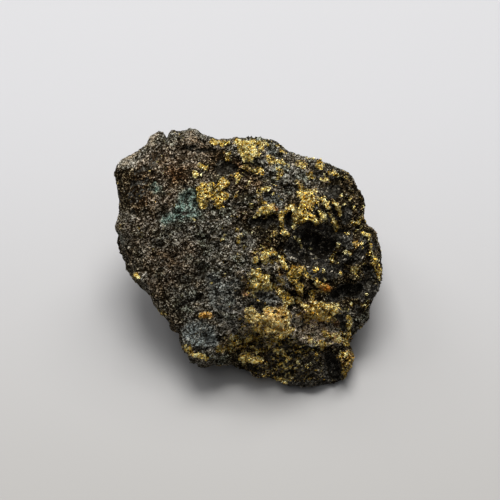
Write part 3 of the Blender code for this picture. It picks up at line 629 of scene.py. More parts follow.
class Tree:
    """The nodes of a new material, or of a world."""

    def __init__(self, owner, shader="Principled BSDF"):
        self.owner = owner
        owner.use_nodes = True
        self.nodes = owner.node_tree.nodes
        self.links = owner.node_tree.links
        self.shader = self.nodes[shader]
        self.made = 0

    def node(self, kind, settings=None, inputs=None, output=0):
        """Adds a node, sets its settings, fills its sockets with values or links, and returns an output."""
        node = self.nodes.new(kind)
        column, row = divmod(self.made, NODE_ROWS)
        node.location = (column * NODE_PITCH[0] - NODE_START[0], NODE_START[1] - row * NODE_PITCH[1])
        self.made += 1
        for key, value in (settings or {}).items():
            if key == "stops":
                set_stops(node.color_ramp, value)
            else:
                setattr(node, key, value)
        for key, value in (inputs or {}).items():
            self.put(node.inputs[key], value)
        return Wire(self, node.outputs[output])

    def put(self, socket, value):
        """Gives a socket a link or a value."""
        if isinstance(value, Wire):
            self.links.new(value.socket, socket)
        else:
            socket.default_value = value

    def mix(self, factor, low, high, blend="MIX"):
        """A colour between two."""
        settings = {"data_type": "RGBA", "blend_type": blend}
        return self.node("ShaderNodeMix", settings, {0: factor, 6: colour(low), 7: colour(high)}, output=2)

    def tint(self, factor, base, shade):
        """A colour multiplied by a shade, as far as the factor says."""
        return self.mix(factor, base, self.mix(1.0, base, shade, "MULTIPLY"))

    def ramp(self, factor, stops):
        return self.node("ShaderNodeValToRGB", {"stops": stops}, {0: factor})

    def vector(self, operation, *values, scale=1.0):
        inputs = {**dict(enumerate(values)), 3: scale}
        return self.node("ShaderNodeVectorMath", {"operation": operation}, inputs)

    def attribute(self, name):
        return self.node("ShaderNodeAttribute", {"attribute_name": name}, output=2)

    def noise(self, place, wavelength, detail=3.0, roughness=0.55):
        inputs = {"Vector": place, "Scale": 1.0 / wavelength, "Detail": detail, "Roughness": roughness}
        return self.node("ShaderNodeTexNoise", None, inputs)

    def cells(self, place, width):
        """A random colour for each of the grains, which are about as wide as given."""
        return self.node("ShaderNodeTexVoronoi", None, {"Vector": place, "Scale": 1.0 / width}, 1)

    def seams(self, place, width):
        """How far in from the nearest side of its grain a place lies, as a share of the width."""
        settings = {"feature": "DISTANCE_TO_EDGE"}
        return self.node("ShaderNodeTexVoronoi", settings, {"Vector": place, "Scale": 1.0 / width})

    def parts(self, vector):
        """The three numbers of a vector or colour."""
        node = self.nodes.new("ShaderNodeSeparateXYZ")
        self.put(node.inputs[0], vector)
        return [Wire(self, socket) for socket in node.outputs]

    def finish(self, inputs):
        """Fills the shader's sockets."""
        for key, value in inputs.items():
            self.put(self.shader.inputs[key], value)
        return self.owner


def colour(value):
    """A colour with its alpha, or a link as it is."""
    return value if isinstance(value, Wire) else (*value, 1.0)


def set_stops(ramp, stops):
    """Gives a colour ramp its stops, each a position and a colour."""
    while len(ramp.elements) < len(stops):
        ramp.elements.new(0.5)
    for element, (position, tone) in zip(ramp.elements, stops):
        element.position = position
        element.color = colour(tone)


class RockLook:
    """Granular dark rock with ore, black sulphide and stains where the skin's attributes say."""

    def __init__(self, settings):
        self.settings = settings
        self.tree = Tree(bpy.data.materials.new("ore_rock"))
        self.zone = {name: self.tree.attribute(name) for name in (*ATTRIBUTES, "hollow")}
        self.dim = (self.zone["dim"] - self.zone["pale"] * 1.6).most(0.0)
        self.add_patterns()

    def add_patterns(self):
        """Random numbers for grains of four sizes, noises, and the seams and cracks between grains."""
        tree = self.tree
        coordinates = tree.node("ShaderNodeTexCoord", output=3)
        straight = tree.vector("MULTIPLY", coordinates, (1.0 / MM,) * 3)
        inputs = {"Vector": straight, "Scale": SWAY_SCALE, "Detail": 2.0}
        sway = tree.node("ShaderNodeTexNoise", None, inputs, 1)
        bent = tree.vector("ADD", straight, tree.vector("MULTIPLY", sway, (SWAY_REACH,) * 3))
        along = tree.node("ShaderNodeVectorMath", {"operation": "DOT_PRODUCT"}, {0: bent, 1: GRAIN}, 1)
        place = tree.vector("SUBTRACT", bent, tree.vector("SCALE", GRAIN, scale=along * GRAIN_STRETCH))
        self.coarse_tint = tree.cells(place, COARSE)
        self.fine_tint = tree.cells(place, FINE)
        self.clump, self.clump_second, _ = tree.parts(tree.cells(straight, CLUMP))
        self.coarse, self.coarse_second, _ = tree.parts(self.coarse_tint)
        self.fine, self.fine_second, self.fine_third = tree.parts(self.fine_tint)
        self.grit, self.grit_second, _ = tree.parts(tree.cells(straight, GRIT))
        self.cloud = tree.noise(straight, CLOUD)
        self.mist = tree.noise(place, MIST, detail=4.0, roughness=0.7)
        self.drift = tree.noise(straight, DRIFT) * 0.7 + self.cloud * 0.3
        self.seam = 1.0 - tree.seams(place, SEAM).step(0.02, 0.16)
        self.crack = 1.0 - tree.seams(place, CRACK).step(0.0, 0.10)

    def specks(self):
        """How light each speck of the plain rock is, from 0 to 1."""
        zone = self.zone
        speck = 0.42 + self.fine.swing(0.66) + self.coarse.swing(0.2) + self.mist.swing(0.8)
        speck = speck + self.cloud.swing(0.4) + self.grit.swing(0.9) + zone["pale"] * 0.26
        speck = speck - zone["black"] * 0.2 + zone["teal"] * 0.14 + zone["slate"] * 0.14
        # Painted shade: specks darken in the seams and cracks between grains
        speck = speck - self.seam * 0.2 - self.crack * 0.12
        return speck - self.dim * 0.36 * (1.0 - speck.step(0.55, 0.95) * 0.7)

    def rock(self):
        """The plain rock with its drifts of colour and its stains."""
        tree, zone, mist = self.tree, self.zone, self.mist
        speck = self.specks()
        rock = tree.ramp(speck, ROCK_STOPS)
        rock = tree.tint(self.drift.step(0.50, 0.66) * 0.7, rock, WARM_TINT)
        rock = tree.tint(self.drift.step(0.50, 0.34) * 0.6, rock, COOL_TINT)
        earth = tree.mix(speck.step(0.45, 0.85), *EARTH_TINTS)
        rock = tree.tint((zone["brown"] * (mist * 0.8 + 0.45)).least(0.9), rock, earth)
        rock = tree.tint((self.dim * 0.9).least(0.9), rock, DUSK_TINT)
        patterns = {
            "teal": self.fine_second * 0.8 + mist * 0.6,
            "slate": self.coarse_second * 0.5 + mist * 0.9,
            "rust": self.coarse * 0.6 + mist,
        }
        for name, pattern in patterns.items():
            most, low, high, shade = STAINS[name]
            stain = tree.mix(speck.step(low, high), shade, getattr(self.settings, name))
            rock = tree.mix((zone[name] * pattern).least(1.0) * most, rock, stain)
        return rock

    def black_cover(self):
        """Where the black sulphide shows."""
        black = self.zone["black"] + self.dim * 0.26 + self.coarse_second.swing(0.7) + self.mist.swing(0.5)
        return black.step(0.55, 0.75)

    def black(self):
        """Dark faces, darkest where their zone is strongest, with a few painted glints."""
        tree = self.tree
        black = tree.ramp(self.fine_second * 0.7 + (self.grit_second + self.mist - 0.65) * 0.44, BLACK_STOPS)
        deep = self.zone["black"].step(1.15, 1.45)
        black = tree.mix(deep * 0.6, black, DEEP_BLACK)
        # Painted glints: a few cells turn bright, more of them in the deepest black
        painted_glint = (self.fine_third + deep * 0.06).step(0.96, 0.99)
        return tree.mix(painted_glint * 0.9, black, PAINTED_GLINT)

    def ore_cover(self):
        """Where ore shows, grain by grain: the weaker it is, the fewer the grains."""
        spread = self.clump * 0.26 + self.coarse * 0.34 + self.fine * 0.28 + self.mist.swing(0.5)
        return (self.zone["ore"] * 1.16 - spread - self.seam * 0.12).step(-0.03, 0.04)

    def gold(self):
        """Ore from brown tarnish to pale polish, with rust and painted shade in its seams; its darkest and
        palest tones also stand for painted shade and painted highlights on its faces.
        """
        tree, rust = self.tree, self.zone["rust"]
        tone = 0.44 + self.fine_second.swing(1.5) + self.coarse_second.swing(0.6)
        tone = tone + self.clump_second.swing(0.2) + self.grit_second.swing(1.0)
        tone = tone + self.mist.swing(0.6) + self.zone["polish"] * 0.55
        gold = tree.ramp(tone, (*TARNISH_AND_SHADE_STOPS, (CLEAN_GOLD, self.settings.gold), *PALE_AND_HIGHLIGHT_STOPS))
        gold = tree.mix((rust * 0.8).least(0.85), gold, RUSTY_GOLD)
        # Painted shade in the seams and cracks between grains
        return tree.mix(self.crack.most(self.seam) * 0.25, gold, SEAM_PAINTED_SHADE)

    def normal(self, shiny):
        """Faces of grains that lean their own ways, more so where shiny, over a fine bump."""
        tree = self.tree
        tilt = tree.vector("SUBTRACT", tree.mix(0.5, self.coarse_tint, self.fine_tint), (0.5, 0.5, 0.5))
        lean = tree.vector("SCALE", tilt, scale=shiny * 0.6 + 0.9)
        straight = tree.node("ShaderNodeNewGeometry", output=1)
        leaned = tree.vector("NORMALIZE", tree.vector("ADD", straight, lean))
        height = self.mist * 0.8 + self.fine * 0.4 + self.grit * 0.2 - self.seam * 0.7 - self.crack * 0.4
        return tree.node("ShaderNodeBump", None, {
            "Strength": BUMP_STRENGTH, "Distance": BUMP_HEIGHT, "Height": height, "Normal": leaned,
        })

    def material(self):
        """The minerals put together on the shader's sockets."""
        tree, zone = self.tree, self.zone
        black, ore = self.black_cover(), self.ore_cover()
        base = tree.mix(black, self.rock(), self.black())
        base = tree.tint(zone["ore"].step(0.1, 0.6) * 0.9, base, NEAR_ORE_TINT)
        base = tree.mix(ore, base, self.gold())
        # Painted shade: the colour darkens in the skin's hollows, less so on the ore
        base = tree.mix(zone["hollow"] * (0.7 - ore * 0.55), base, PAINTED_HOLLOW_SHADE)
        return tree.finish({
            "Base Color": base,
            "Roughness": 0.88 - black * 0.48 - ore * 0.56 + self.fine_third.swing(0.34),
            "Metallic": ore * 0.84,
            "Normal": self.normal(ore.most(black * 0.5)),
            "Specular IOR Level": 0.14,
            "Specular Tint": GLOSS_TINT,
        })


# ----------
# Fields over the stone


DRIFT_OFFSETS = (Vector((5.2, 1.3, 9.7)), Vector((61.4, 23.8, 40.1)), Vector((17.9, 88.6, 34.5)))


def smooth(t):
    """0 below 0, 1 above 1, and an even rise between, for an array."""
    t = np.clip(t, 0.0, 1.0)
    return t * t * (3.0 - 2.0 * t)


def sampled(function, points):
    """The function's value at each point, as an array."""
    return np.array([function(Vector(point)) for point in points])


def noise_at(points, wavelength, offset=0.0):
    return sampled(noise.noise, points / wavelength + offset)


def drift_at(points, wavelength):
    """Three unlike noises at each point."""
    scaled = points / wavelength
    return np.stack([sampled(noise.noise, scaled + np.array(offset)) for offset in DRIFT_OFFSETS], axis=1)


def flakes_at(points, size, tilt, step):
    """Heights of small flat breaks that meet in ledges: each is tilted, and set up or down a little."""
    nearest = np.array([noise.voronoi(Vector(point))[1][0][:] for point in points / size]) * size
    lean = drift_at(nearest, 0.6)
    level = noise_at(nearest, 0.43)
    return tilt * 2.0 * np.sum(lean * (points - nearest), axis=1) + step * 2.0 * level


def face_places(points):
    """u and v of points in millimetres, as they appear from the viewing point."""
    centre = FACE_MIDDLE + U * VIEW_CENTRE[0] + V * VIEW_CENTRE[1]
    offset = points - np.array(centre)
    nearer = VIEW_DISTANCE / (VIEW_DISTANCE - offset @ np.array(W))
    u = VIEW_CENTRE[0] + offset @ np.array(U) * nearer
    v = VIEW_CENTRE[1] + offset @ np.array(V) * nearer
    return u, v


def depth_inside(outline, u, v):
    """How far in from an outline places lie: millimetres, below 0 outside."""
    corners = np.reshape(outline, (-1, 2))
    nearest = np.full(len(u), np.inf)
    inside = np.zeros(len(u), dtype=bool)
    for (start_u, start_v), (end_u, end_v) in zip(corners, np.roll(corners, -1, axis=0)):
        du, dv = end_u - start_u, end_v - start_v
        part = np.clip(((u - start_u) * du + (v - start_v) * dv) / (du * du + dv * dv), 0.0, 1.0)
        nearest = np.minimum(nearest, np.hypot(u - start_u - part * du, v - start_v - part * dv))
        if dv:
            crosses = (start_v > v) != (end_v > v)
            inside ^= crosses & (u < start_u + (v - start_v) * du / dv)
    return np.where(inside, nearest, -nearest)


def patch_cover(outline, edge, u, v):
    """1 well inside a patch, 0 outside it and a soft edge between."""
    corners = np.reshape(outline, (-1, 2))
    low, high = corners.min(axis=0) - edge, corners.max(axis=0) + edge
    near = (u > low[0]) & (u < high[0]) & (v > low[1]) & (v < high[1])
    cover = np.zeros(len(u))
    cover[near] = smooth(depth_inside(outline, u[near], v[near]) / edge + 0.5)
    return cover


def drawn_strength(rows, edge, u, v):
    """The greatest strength that any patch gives each place."""
    strength = np.zeros(len(u))
    for value, outline in rows:
        strength = np.maximum(strength, patch_cover(outline, edge, u, v) * value)
    return strength


def drawn_ore(u, v):
    """Strength, polish and height of the ore that is drawn on the broad face."""
    strength, polish, lift = np.zeros(len(u)), np.full(len(u), USUAL_POLISH), np.zeros(len(u))
    patches = [(*row[:3], patch_cover(row[3], ORE_EDGE, u, v)) for row in ORE]
    for centre_u, centre_v, radius in BEADS:
        cover = smooth((radius - np.hypot(u - centre_u, v - centre_v)) / ORE_EDGE + 0.6)
        patches.append((BEAD_STRENGTH, BEAD_GLINT_POLISH, BEAD_LIFT, cover))
    for value, shine, rise, cover in patches:
        stronger = cover * value > strength
        strength = np.where(stronger, cover * value, strength)
        polish = np.where(stronger, shine, polish)
        lift = np.maximum(lift, cover * rise)
    return strength, polish, lift


def plate_lift(u, v):
    """Height of the leaning plates, which grows from nothing at the top to a ledge at the foot."""
    lift = np.zeros(len(u))
    for height, outline in PLATES:
        rows = outline[1::2]
        share = ((max(rows) - v) / (max(rows) - min(rows))).clip(0.0, 1.0)
        lift = np.maximum(lift, patch_cover(outline, PLATE_EDGE, u, v) * share * height)
    return lift


def dust_at(points, u, v, black):
    """Strength of the ore that is scattered between the patches, most of it right of the middle."""
    level = noise_at(points, DUST_WAVE, 5.5) + 0.10 * smooth((u + 12.0) / 20.0)
    dust = smooth((level - DUST_START) / DUST_SPAN) * (DUST_LEFT + DUST_RIGHT * smooth((u + 10.0) / 18.0))
    dust = dust * (1.0 - 0.9 * black.clip(0.0, 1.0))
    dust = dust * (1.0 - DUST_FOOT_LESS * smooth((-20.0 - v) / 3.0))
    return dust * (1.0 - DUST_END_LESS * smooth((u - 22.0) / 4.0))


def wild_at(name, number, points):
    """Strength of a mineral where none is drawn."""
    wavelength, start, span, most = WILD[name]
    level = noise_at(points, wavelength, 31.7 * (number + 1))
    level = level + FINER_SHARE * noise_at(points, wavelength / FINER, 8.9)
    return smooth((level - start) / span) * most


def minerals_at(points, facing):
    """Strength of each mineral at points in millimetres, and how far the ore lifts them.

    They are drawn on the broad face and left to noise elsewhere.
    """
    bent = points
    for wave, reach in EDGE_BENDS:
        bent = bent + drift_at(points, wave) * reach
    u, v = face_places(bent)
    drawn = smooth((facing - DRAWN_START) / DRAWN_SPAN)
    ore, polish, lift = drawn_ore(u, v)
    gap = drawn_strength(GAPS, GAP_EDGE, u, v)
    on_face = {name: drawn_strength(rows, ZONE_EDGE[name], u, v) for name, rows in ZONES.items()}
    on_face["black"] = np.maximum(on_face["black"], gap)
    on_face["ore"] = np.maximum(ore, dust_at(points, u, v, on_face["black"])) - gap * GAP_BITE
    found = {}
    for number, name in enumerate(WILD):
        wild = wild_at(name, number, points)
        if name == "ore":
            for place, (start, span) in ((facing, WILD_ORE_FACING), (v, WILD_ORE_CROWN)):
                wild = wild * smooth((start - place) / span)
        found[name] = on_face[name] * drawn + wild * (1.0 - drawn)
    found["polish"] = polish * drawn + WILD_POLISH * (1.0 - drawn)
    return found, (lift + plate_lift(u, v) - gap * GAP_DEPTH) * drawn


# ----------
# Meshes


def mesh_points(mesh):
    found = np.empty(len(mesh.vertices) * 3)
    mesh.vertices.foreach_get("co", found)
    return found.reshape(-1, 3)


def mesh_normals(mesh):
    found = np.empty(len(mesh.vertices) * 3, dtype=np.float32)
    mesh.vertex_normals.foreach_get("vector", found)
    return found.reshape(-1, 3).astype(float)


def evaluated(mesh, modifiers):
    """A new mesh: the given one after modifiers, each a type and its values."""
    helper = bpy.data.objects.new("helper", mesh)
    bpy.context.scene.collection.objects.link(helper)
    for kind, values in modifiers:
        modifier = helper.modifiers.new(kind, kind)
        for key, value in values.items():
            setattr(modifier, key, value)
    bpy.context.view_layer.update()
    made = bpy.data.meshes.new_from_object(helper.evaluated_get(bpy.context.evaluated_depsgraph_get()))
    bpy.data.objects.remove(helper)
    return made


def merged_copy(node):
    """The CAD node's mesh with its loose triangles joined."""
    bm = bmesh.new()
    bm.from_mesh(node.data)
    bmesh.ops.remove_doubles(bm, verts=bm.verts, dist=MERGE_REACH)
    mesh = bpy.data.meshes.new("blank")
    bm.to_mesh(mesh)
    bm.free()
    return mesh


def crown_rise(u, v):
    """Height of the crown's knobs and notch, which fade below its foot."""
    rise = sum(height * smooth(1.0 - abs(u - centre) / reach) for centre, reach, height in CROWN)
    return rise * smooth((v - CROWN_FOOT) / CROWN_FADE)


def crags_at(points):
    """Sharp ridges of the broken rock, as an array about 0."""
    return np.array([
        noise.ridged_multi_fractal(Vector(point), 1.0, 2.0, 3, 1.0, 2.0) for point in points / CRAG_WAVE
    ]) - CRAG_MIDDLE


def fine_relief(points, normals):
    """Moves in millimetres that give the smoothed stone its small breaks and raise its ore."""
    facing = normals @ np.array(W)
    minerals, lift = minerals_at(points, facing)
    u, v = face_places(points)
    left = smooth((LEFT_START - u) / LEFT_SPAN)
    even = 1.0 - LEFT_LESS * left - RIM_LESS * smooth(1.0 - abs(facing) / RIM_SPAN)
    black = np.clip(minerals["black"], 0.0, 1.0)
    bent = points + drift_at(points, FLAKE_BEND[0]) * FLAKE_BEND[1]
    breaks = crags_at(points) * CRAG_HEIGHT + sum(flakes_at(bent, *flakes) for flakes in ROCK_FLAKES)
    hackly = np.clip(minerals["ore"], 0.0, 1.0) * flakes_at(bent + 7.0, *ORE_FLAKES)
    sunk = black * BLACK_DEPTH * smooth(facing / BLACK_SPAN)
    moves = normals * (breaks * even * (1.0 - BLACK_LESS * black) + lift + hackly - sunk)[:, None]
    return moves + crown_rise(u, v)[:, None] * np.array(V)


def hollows(mesh, points):
    """How deep each point lies among its neighbours, from 0 to 1, which sets the painted shade in hollows.
    """
    depth = np.sum((softened_points(mesh, points, HOLLOW_ROUNDS) - points) * mesh_normals(mesh), axis=1)
    return smooth(depth / HOLLOW_DEPTH)


def softened_points(mesh, points, rounds):
    """Points of a mesh after each has been moved to the middle of its neighbours, again and again."""
    edges = np.empty(len(mesh.edges) * 2, dtype=np.int64)
    mesh.edges.foreach_get("vertices", edges)
    first, second = edges.reshape(-1, 2).T
    count = np.bincount(edges, minlength=len(points)).clip(1)
    softened = points
    for _ in range(rounds):
        total = np.empty_like(points)
        for axis in range(3):
            ends = np.concatenate([softened[second, axis], softened[first, axis]])
            total[:, axis] = np.bincount(np.concatenate([first, second]), ends, len(points))
        softened = total / count[:, None]
    return softened


def smooth_normals(mesh, points):
    """Directions that the broad surface faces, without its fine breaks."""
    broad = mesh.copy()
    broad.vertices.foreach_set("co", softened_points(mesh, points, BROAD_ROUNDS).ravel())
    found = mesh_normals(broad)
    bpy.data.meshes.remove(broad)
    return found


def lay_out_atlas(mesh, points, directions):
    """Gives the skin a map in six flat charts, each seen along or against w, v or u."""
    corners = np.empty(len(mesh.loops), dtype=np.int64)
    mesh.loops.foreach_get("vertex_index", corners)
    faces = corners.reshape(-1, 3)
    axes = np.array([W, V, U])
    lean = directions[faces].sum(axis=1) @ axes.T
    axis = np.argmax(abs(lean), axis=1)
    behind = lean[np.arange(len(faces)), axis] < 0.0
    placed = points[faces] @ axes.T
    placed -= placed.reshape(-1, 3).min(axis=0)
    uv = np.empty((len(faces), 3, 2))
    for number, (across, up, row) in enumerate(zip((2, 2, 1), (1, 0, 0), ATLAS_ROWS)):
        for side, column in ((False, 0.0), (True, ATLAS_COLUMN)):
            chosen = (axis == number) & (behind == side)
            uv[chosen, :, 0] = placed[chosen][:, :, across] + column
            uv[chosen, :, 1] = placed[chosen][:, :, up] + row
    layer = mesh.uv_layers.new(name="OFBake")
    layer.uv.foreach_set("vector", (uv / ATLAS_SIDE).astype(np.float32).ravel())


def set_attribute(mesh, name, values):
    mesh.attributes.new(name, "FLOAT", "POINT").data.foreach_set("value", values.astype(np.float32))


def link(name, mesh, material):
    """Makes a finished mesh a visible piece that rides on the stone's body."""
    mesh.name = name
    mesh.materials.clear()
    mesh.materials.append(material)
    piece = bpy.data.objects.new(name, mesh)
    bpy.context.scene.collection.objects.link(piece)
    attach(piece, BODY)
    return piece


def broken_blank(settings):
    """The solid's surface in fine triangles, with its small breaks and its raised ore."""
    blank = evaluated(merged_copy(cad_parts[NODE]), [
        ("REMESH", {"mode": "VOXEL", "voxel_size": settings.spacing}),
        ("SMOOTH", SMOOTHING),
    ])
    points, normals = mesh_points(blank) / MM, mesh_normals(blank)
    moved = points + fine_relief(points, normals) * settings.relief
    on_base = points[:, 2] < BASE_FLAT
    moved[on_base] = points[on_base]
    moved[:, 2] = np.where(points[:, 2] < BASE_NEAR, moved[:, 2].clip(0.0), moved[:, 2].clip(FLOOR_GAP))
    blank.vertices.foreach_set("co", (moved * MM).ravel())
    bm = bmesh.new()
    bm.from_mesh(blank)
    bmesh.ops.triangulate(bm, faces=bm.faces)
    bm.to_mesh(blank)
    bm.free()
    return blank


def skin_mesh(settings):
    """The stone's surface, thinned, with every mineral's strength as an attribute."""
    blank = broken_blank(settings)
    skin = evaluated(blank, [("DECIMATE", {"ratio": settings.triangles / len(blank.polygons)})])
    points = mesh_points(skin) / MM
    minerals, _ = minerals_at(points, mesh_normals(skin) @ np.array(W))
    for name, values in minerals.items():
        set_attribute(skin, name, values)
    # The hollow attribute holds where shade is painted into the colour
    set_attribute(skin, "hollow", hollows(skin, points))
    lay_out_atlas(skin, points, smooth_normals(skin, points))
    skin.shade_smooth()
    skin.set_sharp_from_angle(angle=SHARP_ANGLE)
    return skin


def grain_places(mesh, rng, settings):
    """Picks the skin's points that get a grain of ore and those that get a grain of rock."""
    ore = attribute_values(mesh, "ore")
    black = attribute_values(mesh, "black")
    on_base = mesh_points(mesh)[:, 2] < BARE_FOOT
    ore_odds = np.where(on_base, 0.0, (ore - ORE_NEEDED).clip(0.0) ** ORE_ODDS_POWER)
    facing = (mesh_normals(mesh) @ np.array(W) + 1.0) / 1.6
    plain = (1.0 - ore - black * 0.9).clip(ROCK_ODDS_LEAST)
    rock_odds = np.where(on_base, 0.0, plain * (BEHIND_ODDS + smooth(facing - 0.8)))
    ore_places = rng.choice(len(ore), settings.ore_count, replace=False, p=ore_odds / ore_odds.sum())
    rock_places = rng.choice(len(ore), settings.rock_count, replace=False, p=rock_odds / rock_odds.sum())
    return ore_places, rock_places


def attribute_values(mesh, name):
    found = np.empty(len(mesh.vertices), dtype=np.float32)
    mesh.attributes[name].data.foreach_get("value", found)
    return found.astype(float)


def grain_shapes(rng):
    """A few angular lumps, each a cube with its corners pulled about, with a bake map on its sides."""
    low, high = GRAIN_MARGIN, 1.0 - GRAIN_MARGIN
    shapes = []
    for number in range(GRAIN_SHAPES):
        bm = bmesh.new()
        bmesh.ops.create_cube(bm, size=GRAIN_CUBE)
        for vert in bm.verts:
            vert.co += Vector(rng.uniform(-GRAIN_PULL, GRAIN_PULL, 3))
        layer = bm.loops.layers.uv.new("OFBake")
        for place, face in enumerate(bm.faces):
            for loop, (u, v) in zip(face.loops, ((low, low), (high, low), (high, high), (low, high))):
                loop[layer].uv = ((place % 3 + u) / 3.0, (place // 3 + v) / 2.0)
        bmesh.ops.triangulate(bm, faces=bm.faces)
        bmesh.ops.recalc_face_normals(bm, faces=bm.faces)
        shape = bpy.data.meshes.new(f"grain_{number}")
        bm.to_mesh(shape)
        bm.free()
        shapes.append(shape)
    return shapes


def grain_mesh(skin, places, rng, settings, is_ore):
    """Angular grains half sunk in the skin, which take its minerals where they lie."""
    points, normals = mesh_points(skin), mesh_normals(skin)
    shapes = grain_shapes(rng)
    bm = bmesh.new()
    for place in places:
        size = settings.largest * rng.uniform(*(ORE_SIZES if is_ore else ROCK_SIZES)) ** SIZE_POWER
        turn = Euler(rng.uniform(0.0, 2.0 * math.pi, 3)).to_matrix().to_4x4()
        width, thickness = rng.uniform(*GRAIN_WIDTHS), rng.uniform(*GRAIN_THICKNESSES)
        stretch = Matrix.Diagonal((size, size * width, size * thickness, 1.0))
        centre = points[place] - normals[place] * size * GRAIN_SUNK
        centre[2] = max(centre[2], size * GRAIN_REACH)
        matrix = Matrix.Translation(centre) @ turn @ stretch
        shape = shapes[rng.integers(GRAIN_SHAPES)]
        shape.transform(matrix)
        bm.from_mesh(shape)
        shape.transform(matrix.inverted())
    mesh = bpy.data.meshes.new("grains")
    bm.to_mesh(mesh)
    bm.free()
    spread_bake_map(mesh, len(places))
    give_minerals(mesh, skin, places, rng, is_ore)
    return mesh


def give_minerals(mesh, skin, places, rng, is_ore):
    """Gives each grain the minerals and the painted hollow shade of the skin under it, and a paleness and
    polish, with its painted highlight, of its own.
    """
    corners = len(mesh.vertices) // len(places)
    for name in (*ATTRIBUTES, "hollow"):
        values = attribute_values(skin, name)[places]
        if name == "ore":
            values = values + ORE_GAIN if is_ore else np.zeros(len(places))
        if name == "pale" and not is_ore:
            values = values + rng.uniform(*PALE_SWING, len(places))
        if name == "polish":
            values = values + rng.uniform(*POLISH_SWING, len(places))
        set_attribute(mesh, name, np.repeat(values, corners))


def spread_bake_map(mesh, count):
    """Gives each of the equal shapes in a mesh a square of its own in the bake map."""
    side = math.ceil(math.sqrt(count))
    layer = mesh.uv_layers["OFBake"]
    uv = np.empty(len(mesh.loops) * 2, dtype=np.float32)
    layer.uv.foreach_get("vector", uv)
    cells = np.stack([np.arange(count) % side, np.arange(count) // side], axis=1)
    uv = (uv.reshape(count, -1, 2) + cells[:, None, :]) / side
    layer.uv.foreach_set("vector", uv.astype(np.float32).ravel())


# ----------
# Operators


class SPECIMEN_OT_rock_skin(bpy.types.Operator):
    """Build the rock's fine surface in place of the plain solid"""

    bl_idname = "specimen.rock_skin"
    bl_label = "Rock Skin"

    def execute(self, context):
        settings = context.scene.specimen_skin
        piece = link("rock_skin", skin_mesh(settings), RockLook(settings).material())
        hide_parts(NODE)
        return {"FINISHED"}


class SPECIMEN_OT_grains(bpy.types.Operator):
    """Set angular grains of ore and rock into the skin"""

    bl_idname = "specimen.grains"
    bl_label = "Grains"

    def execute(self, context):
        settings = context.scene.specimen_grains
        skin = bpy.data.objects["rock_skin"]
        rng = np.random.default_rng(GRAIN_SEED)
        ore, rock = grain_places(skin.data, rng, settings)
        for name, slot, places, is_ore in (
            ("chalcopyrite_grains", "chalcopyrite", ore, True),
            ("matrix_grains", "ore_rock", rock, False),
        ):
            mesh = grain_mesh(skin.data, places, rng, settings, is_ore)
            link(name, mesh, skin.data.materials[0])
        return {"FINISHED"}


class SPECIMEN_OT_stage(bpy.types.Operator):
    """Build the floor, the lights and the camera"""

    bl_idname = "specimen.stage"
    bl_label = "Stage"

    def execute(self, context):
        settings = context.scene.specimen_stage
        add_floor(settings)
        add_lights(context.scene, settings)
        add_camera(context.scene)
        return {"FINISHED"}


# ----------
# Stage


FLOOR_REACH = 1.6
# The floor's painted shade runs between these two places, darkest near the viewer
FLOOR_NEAR, FLOOR_FAR = -0.09, 0.07  # where the near floor's colour gives way to the other
LIGHT_AIM = Vector((0.0, 0.0, 0.02))
# Each soft light's place, size and tint, named as the setting that holds its power
LIGHTS = {
    "overhead": ((-0.02, 0.31, 0.77), 0.44, (1.0, 0.99, 0.97)),
    "key": ((0.26, 0.46, 0.62), 0.28, (1.0, 0.99, 0.98)),
    "fill": ((-0.40, 0.40, 0.52), 0.28, (0.99, 0.99, 1.0)),
}
SKY_TINT, SKY_FOCUS, SKY_LEAST = (0.97, 0.98, 1.0, 1.0), 5.0, 0.02
SENSOR, NEAREST_SEEN = 36.0, 0.02


def add_floor(settings):
    """A wide pale sheet under the stone, darkened towards the viewer by painted shade."""
    bm = bmesh.new()
    bmesh.ops.create_grid(bm, x_segments=1, y_segments=1, size=FLOOR_REACH)
    mesh = bpy.data.meshes.new("floor")
    bm.to_mesh(mesh)
    bm.free()
    tree = Tree(bpy.data.materials.new("floor_sheet"))
    _, forward, _ = tree.parts(tree.node("ShaderNodeTexCoord", output=3))
    # Painted shade: the floor is darker towards the viewer, where the light from the back falls off
    floor_with_painted_shade = tree.mix(forward.step(FLOOR_NEAR, FLOOR_FAR), settings.near_floor_painted_shade, settings.floor)
    mesh.materials.append(tree.finish({"Base Color": floor_with_painted_shade, "Roughness": 0.8}))
    floor = bpy.data.objects.new("floor", mesh)
    bpy.context.scene.collection.objects.link(floor)


def add_lights(scene, settings):
    """Square soft lights that face the stone, and a sky that is brightest straight above."""
    for name, (place, size, tint) in LIGHTS.items():
        data = bpy.data.lights.new(name, "AREA")
        data.size = size
        data.energy = getattr(settings, name)
        data.color = tint
        add_aimed(scene, name, data, Vector(place), LIGHT_AIM - Vector(place))
    tree = Tree(bpy.data.worlds.new("sky"), "Background")
    _, _, height = tree.parts(tree.node("ShaderNodeTexCoord"))
    glow = height.most(0.0) ** SKY_FOCUS * settings.sky + SKY_LEAST
    scene.world = tree.finish({"Color": SKY_TINT, "Strength": glow})
    scene.view_settings.view_transform = "Standard"


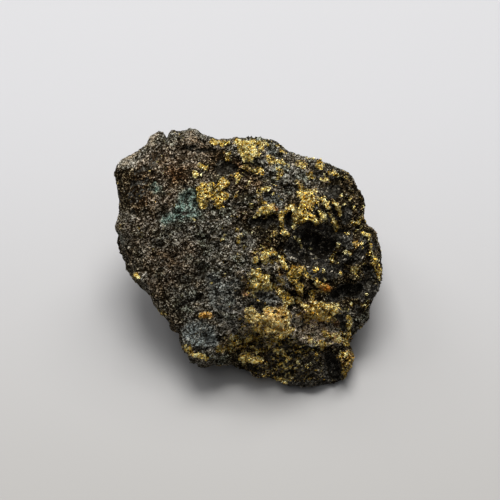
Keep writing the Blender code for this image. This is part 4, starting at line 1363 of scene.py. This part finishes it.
def add_camera(scene):
    """A camera that looks straight down w at the broad face."""
    data = bpy.data.cameras.new("camera")
    data.sensor_width = SENSOR
    data.lens = SENSOR * VIEW_DISTANCE / VIEW_WIDTH
    data.clip_start = NEAREST_SEEN
    centre = FACE_MIDDLE + U * VIEW_CENTRE[0] + V * VIEW_CENTRE[1]
    scene.camera = add_aimed(scene, "camera", data, (centre + W * VIEW_DISTANCE) * MM, -W)


def add_aimed(scene, name, data, place, direction):
    """Adds a light or a camera that looks in a direction."""
    aimed = bpy.data.objects.new(name, data)
    aimed.location = place
    aimed.rotation_mode = "QUATERNION"
    aimed.rotation_quaternion = direction.to_track_quat("-Z", "Y")
    scene.collection.objects.link(aimed)
    return aimed


class SPECIMEN_PT_panel(bpy.types.Panel):
    """Lists the pieces of the specimen and their settings"""

    bl_idname = "SPECIMEN_PT_panel"
    bl_label = "Chalcopyrite Specimen"
    bl_space_type = "VIEW_3D"
    bl_region_type = "UI"
    bl_category = "Specimen"

    def draw(self, context):
        scene = context.scene
        for operator, group in STEPS:
            box = self.layout.box()
            settings = getattr(scene, group)
            for name in settings.bl_rna.properties.keys():
                if name not in ("rna_type", "name"):
                    box.prop(settings, name)
            box.operator(operator)


STEPS = (
    ("specimen.rock_skin", "specimen_skin"),
    ("specimen.grains", "specimen_grains"),
    ("specimen.stage", "specimen_stage"),
)
GROUPS = {"specimen_skin": SkinSettings, "specimen_grains": GrainSettings, "specimen_stage": StageSettings}
CLASSES = (
    *GROUPS.values(), SPECIMEN_OT_rock_skin, SPECIMEN_OT_grains, SPECIMEN_OT_stage, SPECIMEN_PT_panel
)


def register():
    for cls in CLASSES:
        bpy.utils.register_class(cls)
    for name, group in GROUPS.items():
        setattr(bpy.types.Scene, name, PointerProperty(type=group))


def unregister():
    for name in GROUPS:
        delattr(bpy.types.Scene, name)
    for cls in reversed(CLASSES):
        bpy.utils.unregister_class(cls)


def main():
    register()
    bpy.ops.specimen.rock_skin()
    bpy.ops.specimen.grains()
    bpy.ops.specimen.stage()


if __name__ == "__main__":
    main()
